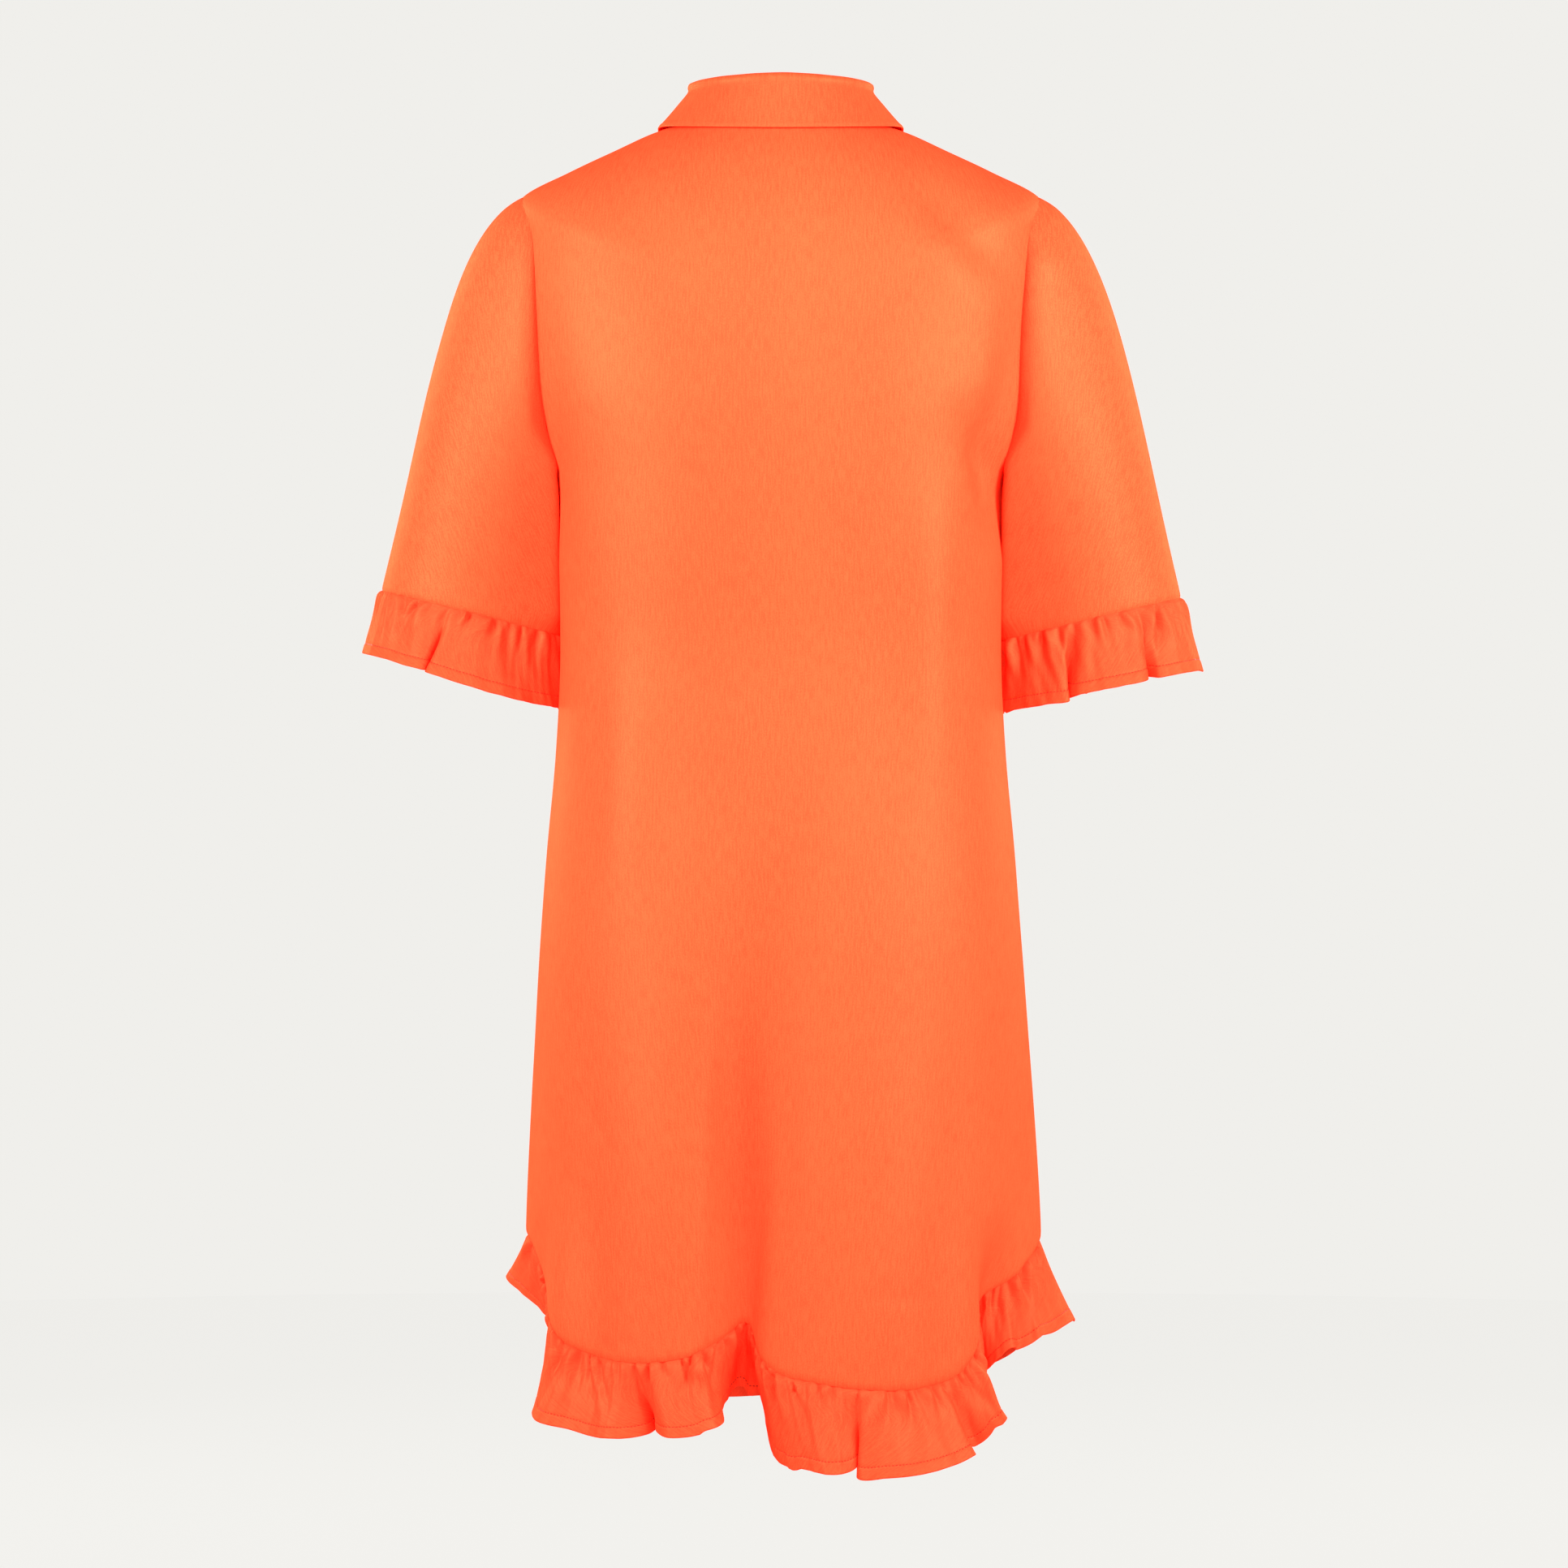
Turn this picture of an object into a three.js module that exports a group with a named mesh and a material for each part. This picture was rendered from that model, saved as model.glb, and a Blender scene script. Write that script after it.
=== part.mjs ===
// A shirt dress in thin cloth, standing in its worn form with no wearer in it.
// Millimetres, +Z up, the front faces -Y, the wearer's left side is +X.
// Height zero is the level of the shoulders at the neck, on the middle line of the dress.
//
// The body of the dress is one surface of rings. A ring is found by its level, which counts
// down from the neck seam (0) to the hem seam (LEVEL_HEM), and a point on it by its angle:
// 0 at the wearer's left side, 90 at the middle of the back, 180 at the right side and
// -90 at the middle of the front. Each panel is a patch of that surface with a wall.

import * as THREE from "three";

// ---------------------------------------------------------------- cloth and seams

const CLOTH = 1.6; // wall of the cloth
const SEAM = 0.3; // space between two pieces at a seam
const LAID = CLOTH + SEAM; // from the middle of one cloth to the middle of one laid on it

// ---------------------------------------------------------------- body sections

// One row per ring: heights at the side, back and front, half width, depth to the back and
// to the front, and how square the ring is (2 is an ellipse).
const BODY_RINGS = [
  { name: "neck", side: 4, back: 8, front: -60, width: 74, backDepth: 60, frontDepth: 76, square: 2.0 },
  { name: "collar edge", side: -3, back: -8, front: -80, width: 96, backDepth: 76, frontDepth: 96, square: 2.0 },
  { name: "inner shoulder", side: -15, back: -30, front: -102, width: 122, backDepth: 94, frontDepth: 114, square: 2.05 },
  { name: "middle shoulder", side: -31, back: -60, front: -130, width: 156, backDepth: 110, frontDepth: 129, square: 2.1 },
  { name: "shoulder tip", side: -50, back: -96, front: -160, width: 191, backDepth: 120, frontDepth: 138, square: 2.2 },
  { name: "armhole head", side: -72, back: -118, front: -174, width: 194.5, backDepth: 124, frontDepth: 140.5, square: 2.25 },
  { name: "upper armhole", side: -118, back: -150, front: -196, width: 195, backDepth: 127, frontDepth: 143, square: 2.3 },
  { name: "lower armhole", side: -186, back: -203, front: -228, width: 187, backDepth: 129, frontDepth: 145, square: 2.35 },
  { name: "underarm", side: -255, back: -257, front: -262, width: 168.5, backDepth: 127, frontDepth: 143, square: 2.35 },
  { name: "under bust", side: -318, back: -318, front: -320, width: 164, backDepth: 122, frontDepth: 132, square: 2.35 },
  { name: "waist", side: -390, back: -390, front: -390, width: 162.5, backDepth: 117, frontDepth: 121, square: 2.3 },
  { name: "below waist", side: -462, back: -462, front: -462, width: 166, backDepth: 121, frontDepth: 121, square: 2.3 },
  { name: "upper hip", side: -534, back: -534, front: -534, width: 172.5, backDepth: 129, frontDepth: 126, square: 2.3 },
  { name: "hip", side: -606, back: -606, front: -606, width: 177.5, backDepth: 135, frontDepth: 131, square: 2.3 },
  { name: "upper skirt", side: -676, back: -712, front: -704, width: 180.5, backDepth: 138, frontDepth: 134, square: 2.3 },
  { name: "lower skirt", side: -746, back: -818, front: -802, width: 183, backDepth: 140, frontDepth: 136, square: 2.3 },
  { name: "hem", side: -815, back: -925, front: -900, width: 185, backDepth: 142, frontDepth: 138, square: 2.3 },
];

const LEVEL_SHOULDER = 4; // the ring at the shoulder tip, where the armhole starts
const LEVEL_UNDERARM = 8; // the ring at the bottom of the armhole
const LEVEL_HIP = 13; // below this ring the levels run to the curved hem
const LEVEL_HEM = 16;

const ARMHOLE_BACK_ANGLE = 25; // how far the armhole is cut into the back
const ARMHOLE_FRONT_ANGLE = 29; // and into the front

// The hem round the dress: the height of its seam, high at the sides and low at the back and
// front, and how far the foot of the ruffle stands out and sways along the hem.
const HEM = [
  { angle: 0, height: -816, flare: 12, sway: -43 },
  { angle: 10, height: -825, flare: -6, sway: -14 },
  { angle: 22, height: -858, flare: -12, sway: -2 },
  { angle: 34, height: -884, flare: 9, sway: -8 },
  { angle: 46, height: -897, flare: 12, sway: -5 },
  { angle: 60, height: -901, flare: 11, sway: 0 },
  { angle: 72, height: -896, flare: 9, sway: 0 },
  { angle: 79, height: -884, flare: 4, sway: -2 },
  { angle: 84, height: -873, flare: -6, sway: 2 },
  { angle: 88, height: -896, flare: 0, sway: 2 },
  { angle: 92, height: -911, flare: 7, sway: 4 },
  { angle: 102, height: -918, flare: 11, sway: 3 },
  { angle: 116, height: -920, flare: 12, sway: 2 },
  { angle: 128, height: -914, flare: 14, sway: 8 },
  { angle: 134, height: -903, flare: 14, sway: 12 },
  { angle: 142, height: -878, flare: 8, sway: 6 },
  { angle: 152, height: -853, flare: 8, sway: 2 },
  { angle: 164, height: -835, flare: 14, sway: 6 },
  { angle: 180, height: -819, flare: 22, sway: 22 },
  { angle: 205, height: -838, flare: 8, sway: 8 },
  { angle: 232, height: -878, flare: 11, sway: 0 },
  { angle: 270, height: -900, flare: 10, sway: 0 },
  { angle: 308, height: -878, flare: 9, sway: 0 },
  { angle: 330, height: -845, flare: -2, sway: -8 },
  { angle: 347, height: -822, flare: 0, sway: -30 },
];

// The largest folds. Each runs from its top to its foot, with its angle, its half spread in
// degrees, the depth it reaches (out of the dress is positive), and how far it leans
// sideways over its neighbour. A fold that keeps runs on at full depth below its foot.
const FOLDS = [
  { name: "back middle trough", topAngle: 87, top: -430, footAngle: 85, foot: -900, spread: 13, depth: -34, lean: 0, keeps: true },
  { name: "back middle lap", topAngle: 91, top: -700, footAngle: 90, foot: -905, spread: 7, depth: 3, lean: -9, keeps: true },
  { name: "back left lobe", topAngle: 60, top: -500, footAngle: 62, foot: -900, spread: 22, depth: 9, lean: 3, keeps: true },
  { name: "back left edge", topAngle: 34, top: -760, footAngle: 35, foot: -880, spread: 14, depth: 8, lean: -1, keeps: true },
  { name: "left side trough", topAngle: 18, top: -780, footAngle: 17, foot: -850, spread: 12, depth: -4, lean: 0, keeps: true },
  { name: "left side flare", topAngle: -6, top: -560, footAngle: -6, foot: -830, spread: 17, depth: 4, lean: 0, keeps: true },
  { name: "back right lobe", topAngle: 112, top: -500, footAngle: 110, foot: -900, spread: 24, depth: 12, lean: -2, keeps: true },
  { name: "back right edge", topAngle: 132, top: -740, footAngle: 133, foot: -890, spread: 11, depth: 6, lean: -2, keeps: true },
  { name: "right side trough", topAngle: 147, top: -790, footAngle: 149, foot: -870, spread: 13, depth: -20, lean: 0, keeps: true },
  { name: "right side flare", topAngle: 178, top: -560, footAngle: 178, foot: -830, spread: 18, depth: 7, lean: 0, keeps: true },
  { name: "front left fold", topAngle: -34, top: -430, footAngle: -38, foot: -870, spread: 16, depth: 12, lean: 4, keeps: true },
  { name: "front left trough", topAngle: -60, top: -420, footAngle: -60, foot: -870, spread: 14, depth: -15, lean: 0, keeps: true },
  { name: "front right trough", topAngle: -121, top: -430, footAngle: -122, foot: -870, spread: 14, depth: -13, lean: 0, keeps: true },
  { name: "front right fold", topAngle: -146, top: -450, footAngle: -143, foot: -870, spread: 16, depth: 12, lean: -4, keeps: true },
  { name: "right shoulder drag", topAngle: 152, top: -60, footAngle: 148, foot: -330, spread: 13, depth: -5, lean: 0, keeps: false },
  { name: "right back ridge", topAngle: 128, top: -230, footAngle: 124, foot: -560, spread: 14, depth: 4, lean: 0, keeps: false },
  { name: "left back ridge", topAngle: 50, top: -330, footAngle: 52, foot: -640, spread: 16, depth: 4, lean: 0, keeps: false },
];

// ---------------------------------------------------------------- sleeves

const SLEEVE_LEAN = 14.2; // degrees the sleeve stands out from the body
const CUFF_CENTRE = { out: 228, y: -42, z: -356 };
const CUFF_HALF_WIDTH = 71;
const CUFF_HALF_DEPTH = 60;
const SLEEVE_CLEAR = 2.6; // from the middle of the body's cloth to that of the sleeve

// How the sleeve leaves the armhole, at its top, its back or front, and underneath: the
// direction it takes (out, back, up), how long it holds it, and how long it runs straight
// into the cuff.
const SLEEVE_LEAVES = {
  top: { out: 0.88, back: 0, up: -0.47, hold: 62, straight: 170 },
  side: { out: 0.5, back: 0.36, up: -0.79, hold: 58, straight: 95 },
  under: { out: 1.0, back: 0, up: 0.1, hold: 11, straight: 60 },
};

// ---------------------------------------------------------------- ruffles

const HEM_RUFFLE = { height: 60, wave: 6.0 };
const CUFF_RUFFLE = { height: 53, flare: 3, hang: 5, wave: 5.0, length: 37 };
const COLUMNS_PER_WAVE = 5;
const RUFFLE_ROWS = 3;
const RUFFLE_SEAM = 1.4; // the hem ruffle starts this far below the body's cloth
const CUFF_SEAM = 0.6; // and a cuff ruffle this far below its sleeve

// ---------------------------------------------------------------- collar, band, buttons

const COLLAR_FOLD = { side: 32, back: 35.5, front: -30, width: 67, backDepth: 60, frontDepth: 73 };

// The free edge of the collar on the body, from the middle of the back to the front point.
const COLLAR_EDGE = [
  { along: 0, angle: 90, level: 0.84 },
  { along: 0.25, angle: 46, level: 0.86 },
  { along: 0.5, angle: 2, level: 0.86 },
  { along: 0.72, angle: -30, level: 1.05 },
  { along: 1, angle: -60, level: 1.75 },
];
const STAND_LAP = 1.05; // each end of the stand moves this far in or out where they lap
const STAND_SEAM = 1.5; // the stand starts this far above the neck seam
const COLLAR_LIFT = 3.0; // the collar's free edge above the body's cloth
const COLLAR_FRONT_SPACE = 4; // half the space between the two front ends of the collar

const BAND_HALF_WIDTH = 15;
const BAND_OVER_EDGE = 4; // how far the band runs over the edge of the right front
const BAND_TOP_LEVEL = 0.12; // the band's top edge, just under the collar stand
const BAND_CLEAR = 0.1; // for the flat facets of the fronts under the band

const BUTTON_RADIUS = 5.2;
const BUTTON_THICKNESS = 2.2;
const BUTTON_SIDES = 12;
const BUTTON_FIRST = -48; // height of the button on the collar stand
const BUTTON_STEP = 86;
const BUTTON_COUNT = 9;

const COLOURS = { cloth: "#f4793f", stand: "#ee7440", button: "#e8703f" };

// ---------------------------------------------------------------- small helpers

const RADIAN = Math.PI / 180;
const mix = (a, b, f) => a + (b - a) * f;
const clamp01 = (f) => Math.min(1, Math.max(0, f));
const smooth = (f) => {
  const c = clamp01(f);
  return c * c * (3 - 2 * c);
};
const power = (value, exponent) => Math.sign(value) * Math.abs(value) ** exponent;

/** Smooth value through four neighbours, f of the way from b to c. */
function throughFour(a, b, c, d, f) {
  const slopeB = (c - a) / 2;
  const slopeC = (d - b) / 2;
  const f2 = f * f;
  const f3 = f2 * f;
  return (2 * f3 - 3 * f2 + 1) * b + (f3 - 2 * f2 + f) * slopeB
    + (-2 * f3 + 3 * f2) * c + (f3 - f2) * slopeC;
}

/** The ring at a level between the rows of BODY_RINGS. */
function ringAt(level) {
  const last = BODY_RINGS.length - 1;
  const i = Math.min(last - 1, Math.max(0, Math.floor(level)));
  const rows = [i - 1, i, i + 1, i + 2].map((k) => BODY_RINGS[Math.min(last, Math.max(0, k))]);
  const ring = {};
  for (const key of Object.keys(rows[1])) {
    if (key !== "name") {
      ring[key] = throughFour(...rows.map((row) => row[key]), level - i);
    }
  }
  return ring;
}

/** One column of HEM at an angle. */
function hemAt(angle, key) {
  const turn = ((angle % 360) + 360) % 360;
  const count = HEM.length;
  let i = 0;
  while (i + 1 < count && HEM[i + 1].angle <= turn) {
    i += 1;
  }
  const row = (k) => HEM[(k + count) % count][key];
  const to = i + 1 < count ? HEM[i + 1].angle : 360;
  const share = (turn - HEM[i].angle) / (to - HEM[i].angle);
  return throughFour(row(i - 1), row(i), row(i + 1), row(i + 2), share);
}

/** The body's surface before its folds. */
function plainBody(angle, level) {
  const ring = ringAt(level);
  const c = Math.cos(angle * RADIAN);
  const s = Math.sin(angle * RADIAN);
  const isBack = s > 0;
  const exponent = 2 / ring.square;
  const middle = isBack ? ring.back : ring.front;
  let z = mix(middle, ring.side, c * c);
  if (level > LEVEL_HIP) {
    const hip = ringAt(LEVEL_HIP).side;
    z = mix(hip, hemAt(angle, "height"), (level - LEVEL_HIP) / (LEVEL_HEM - LEVEL_HIP));
  }
  const depth = isBack ? ring.backDepth : ring.frontDepth;
  return new THREE.Vector3(ring.width * power(c, exponent), depth * power(s, exponent), z);
}

/** Degrees from one angle to another, the short way. */
function turnBetween(from, to) {
  return ((((to - from) % 360) + 540) % 360) - 180;
}

/** How far the folds move the body's surface: out of it and along it. */
function foldShift(angle, z) {
  let out = 0;
  let along = 0;
  for (const fold of FOLDS) {
    const down = (fold.top - z) / (fold.top - fold.foot);
    const strength = fold.keeps ? smooth(down) : Math.sin(Math.PI * clamp01(down)) ** 2;
    if (strength > 0) {
      const centre = mix(fold.topAngle, fold.footAngle, clamp01(down));
      const across = turnBetween(centre, angle) / fold.spread;
      if (Math.abs(across) < 1) {
        const bump = Math.cos((across * Math.PI) / 2) ** 2;
        out += fold.depth * strength * bump;
        along += fold.lean * strength * bump;
      }
    }
  }
  return { out, along };
}

/** A point of the body's cloth, at its middle. */
function body(angle, level) {
  const point = plainBody(angle, level);
  const step = 0.5;
  const ahead = plainBody(angle + step, level);
  const behind = plainBody(angle - step, level);
  const along = ahead.sub(behind).setZ(0).normalize();
  const outward = new THREE.Vector3(along.y, -along.x, 0);
  const shift = foldShift(angle, point.z);
  point.addScaledVector(outward, shift.out);
  point.addScaledVector(along, shift.along);
  return point;
}

/** The direction squarely out of the body's cloth. */
function bodyNormal(angle, level) {
  const around = body(angle + 1, level).sub(body(angle - 1, level));
  const above = body(angle, Math.max(0, level - 0.1));
  return around.cross(above.sub(body(angle, Math.min(LEVEL_HEM, level + 0.1)))).normalize();
}

/** A point laid on the body's cloth, squarely out of it by a distance. */
function onBody(angle, level, out) {
  return body(angle, level).addScaledVector(bodyNormal(angle, level), out);
}

// ---------------------------------------------------------------- walls

/**
 * A closed wall on a grid of middle points, rows of points from edge to edge. Seen from
 * outside, a row runs from right to left and the rows go down. The normals of a row may be
 * given; otherwise they are taken from the neighbouring points.
 */
function wall(rows, { thickness = CLOTH, isTube = false, normals = null } = {}) {
  const height = rows.length;
  const width = rows[0].length;
  const wrap = (j) => (isTube ? (j + width) % width : Math.min(width - 1, Math.max(0, j)));
  const at = (i, j) => rows[Math.min(height - 1, Math.max(0, i))][wrap(j)];
  const positions = [];
  for (const side of [0.5, -0.5]) {
    for (let i = 0; i < height; i += 1) {
      for (let j = 0; j < width; j += 1) {
        const down = at(i + 1, j).clone().sub(at(i - 1, j));
        const across = at(i, j + 1).clone().sub(at(i, j - 1));
        const given = normals ? normals[i] : null;
        const normal = given ? given[j] : across.cross(down).normalize();
        const point = at(i, j).clone().addScaledVector(normal, side * thickness);
        positions.push(point.x, point.y, point.z);
      }
    }
  }
  const inner = height * width;
  const triangles = [];
  const quad = (a, b, c, d) => triangles.push(a, b, c, a, c, d);
  const columns = isTube ? width : width - 1;
  for (let i = 0; i + 1 < height; i += 1) {
    for (let j = 0; j < columns; j += 1) {
      const k = (j + 1) % width;
      quad(i * width + j, i * width + k, (i + 1) * width + k, (i + 1) * width + j);
      quad(
        inner + i * width + j,
        inner + (i + 1) * width + j,
        inner + (i + 1) * width + k,
        inner + i * width + k,
      );
    }
  }
  const foot = (height - 1) * width;
  for (let j = 0; j < columns; j += 1) {
    const k = (j + 1) % width;
    quad(k, j, inner + j, inner + k);
    quad(foot + j, foot + k, inner + foot + k, inner + foot + j);
  }
  if (!isTube) {
    for (let i = 0; i + 1 < height; i += 1) {
      const a = i * width;
      const b = (i + 1) * width;
      quad(a, b, inner + b, inner + a);
      quad(b + width - 1, a + width - 1, inner + a + width - 1, inner + b + width - 1);
    }
  }
  const geometry = new THREE.BufferGeometry();
  geometry.setAttribute("position", new THREE.Float32BufferAttribute(positions, 3));
  geometry.setIndex(triangles);
  return geometry;
}

/** A grid of points: one row per value in downs, one column per value in acrosses. */
function grid(downs, acrosses, pointAt) {
  return downs.map((down) => acrosses.map((across) => pointAt(across, down)));
}

/** A wall on the body for the angles given by angleAt(across, level). */
function bodyWall(levels, acrosses, angleAt) {
  const rows = grid(levels, acrosses, (across, level) => body(angleAt(across, level), level));
  const normals = grid(levels, acrosses, (across, level) => (
    bodyNormal(angleAt(across, level), level)
  ));
  return wall(rows, { normals });
}

/** Evenly spaced values from one end to the other, both ends included. */
function evenly(from, to, steps) {
  return Array.from({ length: steps + 1 }, (_, i) => mix(from, to, i / steps));
}

// ---------------------------------------------------------------- body panels

const ARMHOLE_ROWS = 11;
const SHOULDER_ROWS = 5;
const SKIRT_ROWS = 15;
const BACK_COLUMNS = 26;
const FRONT_COLUMNS = 12;

/** Level on the armhole at an angle round it: 0 at the shoulder, 180 at the underarm. */
function armholeLevel(round) {
  const fall = (1 - Math.cos(round * RADIAN)) / 2;
  return mix(LEVEL_SHOULDER, LEVEL_UNDERARM, fall);
}

/** Angle of the armhole's edge on the body at a level, zero above and below the armhole. */
function armholeAngle(level, widest) {
  if (level <= LEVEL_SHOULDER || level >= LEVEL_UNDERARM) {
    return 0;
  }
  const fall = (level - LEVEL_SHOULDER) / (LEVEL_UNDERARM - LEVEL_SHOULDER);
  return widest * Math.sin(Math.acos(1 - 2 * fall));
}

/** Levels of a panel's rows, from the neck to the hem. */
function panelLevels() {
  const shoulder = evenly(0, LEVEL_SHOULDER, SHOULDER_ROWS);
  const armhole = evenly(0, 180, ARMHOLE_ROWS).map(armholeLevel);
  const skirt = evenly(LEVEL_UNDERARM, LEVEL_HEM, SKIRT_ROWS);
  return [...shoulder, ...armhole.slice(1), ...skirt.slice(1)];
}

/** Degrees on the ring at a level that make a given distance along it near an angle. */
function degreesFor(distance, angle, level) {
  const reach = body(angle + 0.5, level).distanceTo(body(angle - 0.5, level));
  return distance / reach;
}

/** Angle on the front at which the body stands at a given x. */
function frontAngleAt(x, level) {
  let low = -150;
  let high = -30;
  for (let i = 0; i < 30; i += 1) {
    const angle = (low + high) / 2;
    if (body(angle, level).x < x) {
      low = angle;
    } else {
      high = angle;
    }
  }
  return (low + high) / 2;
}

/** Point at a place from 0 to 1 on the straight lines between evenly spaced columns. */
function onColumns(place, columns, pointAt) {
  const j = Math.min(columns - 1, Math.floor(place * columns));
  return pointAt(j / columns).lerp(pointAt((j + 1) / columns), place * columns - j);
}

/** The back, cut whole from side seam to side seam. */
function backPanel() {
  const columns = evenly(0, 1, BACK_COLUMNS);
  return bodyWall(panelLevels(), columns, (across, level) => {
    const edge = armholeAngle(level, ARMHOLE_BACK_ANGLE) + degreesFor(SEAM / 2, 2, level);
    return mix(180 - edge, edge, across);
  });
}

/** One front. The left front runs under the button band, the right one stops at it. */
function frontPanel(isLeft) {
  const columns = evenly(0, 1, FRONT_COLUMNS);
  const frontEdge = -BAND_HALF_WIDTH + (isLeft ? SEAM / 2 : -SEAM / 2);
  return bodyWall(panelLevels(), columns, (across, level) => {
    const edge = armholeAngle(level, ARMHOLE_FRONT_ANGLE) + degreesFor(SEAM / 2, -2, level);
    const middle = frontAngleAt(frontEdge, level);
    return isLeft ? mix(-edge, middle, across) : mix(middle, -180 + edge, across);
  });
}

/** The button band, laid on both fronts along the middle line. */
function buttonBand() {
  const left = BAND_HALF_WIDTH;
  const right = -BAND_HALF_WIDTH - BAND_OVER_EDGE;
  const levels = [BAND_TOP_LEVEL, ...panelLevels().slice(1)];
  return wall(grid(levels, evenly(left, right, 3), (x, level) => (
    onBody(frontAngleAt(x, level), level, LAID + BAND_CLEAR)
  )));
}

// ---------------------------------------------------------------- sleeves

/** How far out the side of the body stands beside a point, with a space outside it. */
function sideOfBody(point, space) {
  let low = LEVEL_UNDERARM;
  let high = LEVEL_HIP;
  for (let i = 0; i < 24; i += 1) {
    const level = (low + high) / 2;
    if (ringAt(level).side > point.z) {
      low = level;
    } else {
      high = level;
    }
  }
  const ring = ringAt(low);
  const depth = (point.y > 0 ? ring.backDepth : ring.frontDepth) + space;
  const share = 1 - (Math.abs(point.y) / depth) ** ring.square;
  return share > 0 ? (ring.width + space) * share ** (1 / ring.square) : 0;
}

/** Moves a point out of the body sideways until it stands clear of it. */
function clearOfBody(point, side, space = SLEEVE_CLEAR) {
  const underarm = BODY_RINGS[LEVEL_UNDERARM].side;
  if (point.z > underarm) {
    return point;
  }
  const edge = sideOfBody(point, space * smooth((underarm - point.z) / 12));
  const out = point.x * side;
  const soft = 1.2;
  const over = (out - edge) / soft;
  const kept = over > 8 ? out : edge + soft * Math.log(1 + Math.exp(over));
  point.x = side * kept;
  return point;
}

/** The three ways of SLEEVE_LEAVES mixed for an angle round the armhole. */
function sleeveLeaves(round) {
  const c = Math.cos(round * RADIAN);
  const s = Math.sin(round * RADIAN);
  const shares = { top: c > 0 ? c * c : 0, side: s * s, under: c < 0 ? c * c : 0 };
  const way = { out: 0, back: 0, up: 0, hold: 0, straight: 0 };
  for (const [name, share] of Object.entries(shares)) {
    for (const key of Object.keys(way)) {
      const sign = key === "back" ? Math.sign(s) : 1;
      way[key] += SLEEVE_LEAVES[name][key] * share * sign;
    }
  }
  return way;
}

/** A point where the armhole is cut, for an angle round it (90 at the back, 270 in front). */
function armholePoint(side, round) {
  const level = armholeLevel(round);
  const widest = round <= 180 ? ARMHOLE_BACK_ANGLE : -ARMHOLE_FRONT_ANGLE;
  const edge = widest * Math.abs(Math.sin(round * RADIAN));
  return body(side > 0 ? edge : 180 - edge, level);
}

/** A point of the cuff ring; down moves it along the sleeve and grow widens the ring. */
function cuffPoint(side, round, down = 0, grow = 0) {
  const lean = SLEEVE_LEAN * RADIAN;
  const wide = (CUFF_HALF_WIDTH + grow) * Math.cos(round * RADIAN);
  const deep = (CUFF_HALF_DEPTH + grow) * Math.sin(round * RADIAN);
  const out = CUFF_CENTRE.out + wide * Math.cos(lean) + down * Math.sin(lean);
  const z = CUFF_CENTRE.z + wide * Math.sin(lean) - down * Math.cos(lean);
  return new THREE.Vector3(side * out, CUFF_CENTRE.y + deep, z);
}

/** A point of the sleeve: round the arm, and along it from the armhole (0) to the cuff (1). */
function sleevePoint(side, round, along) {
  const start = armholePoint(side, round);
  const way = sleeveLeaves(round);
  const leaves = new THREE.Vector3(side * way.out, way.back, way.up).normalize();
  const edgeAhead = armholePoint(side, round + 2);
  const edgeBehind = armholePoint(side, Math.max(0, round - 2));
  const edge = edgeAhead.sub(edgeBehind).normalize();
  const centre = armholePoint(side, 90).add(armholePoint(side, 270)).multiplyScalar(0.5);
  const inward = centre.sub(start);
  inward.addScaledVector(edge, -inward.dot(edge)).normalize();
  const turned = Math.sqrt(Math.max(0, 1 - inward.dot(leaves) ** 2));
  start.addScaledVector(inward, SEAM + (CLOTH / 2 + 0.35) * turned);
  const lean = SLEEVE_LEAN * RADIAN;
  const straight = new THREE.Vector3(side * Math.sin(lean), -0.14, -Math.cos(lean)).normalize();
  const end = cuffPoint(side, round);
  const first = start.clone().addScaledVector(leaves, way.hold);
  const second = end.clone().addScaledVector(straight, -way.straight);
  const curve = new THREE.CubicBezierCurve3(start, first, second, end);
  const point = curve.getPoint(along);
  const inner = smooth(-1.6 * Math.cos(round * RADIAN) - 0.5);
  const below = smooth((BODY_RINGS[LEVEL_UNDERARM].side - point.z) / 25);
  const lies = inner * below * smooth((1 - along) / 0.06);
  const beside = sideOfBody(point, SLEEVE_CLEAR);
  point.x = mix(point.x, side * Math.min(beside, point.x * side), lies);
  return along > 0 ? clearOfBody(point, side) : point;
}

const SLEEVE_ROWS = [0, 0.05, 0.13, 0.24, 0.36, 0.49, 0.62, 0.75, 0.88, 1];

/** One sleeve, from the armhole to the seam of its cuff ruffle. */
function sleeve(side) {
  const rounds = evenly(0, 360, 2 * ARMHOLE_ROWS).slice(0, -1);
  const columns = side > 0 ? rounds.slice().reverse() : rounds;
  return wall(grid(SLEEVE_ROWS, columns, (round, along) => (
    sleevePoint(side, round, along)
  )), { isTube: true });
}

// ---------------------------------------------------------------- ruffles

/** Uneven waves: the turn of the wave at a place from 0 to 1 along a strip. */
function waveTurn(place, waves) {
  const unevenness = 0.045 * Math.sin(5.3 * place * Math.PI * 2) + 0.03 * Math.sin(11.7 * place + 1);
  return 2 * Math.PI * (waves * place + unevenness);
}

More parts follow.
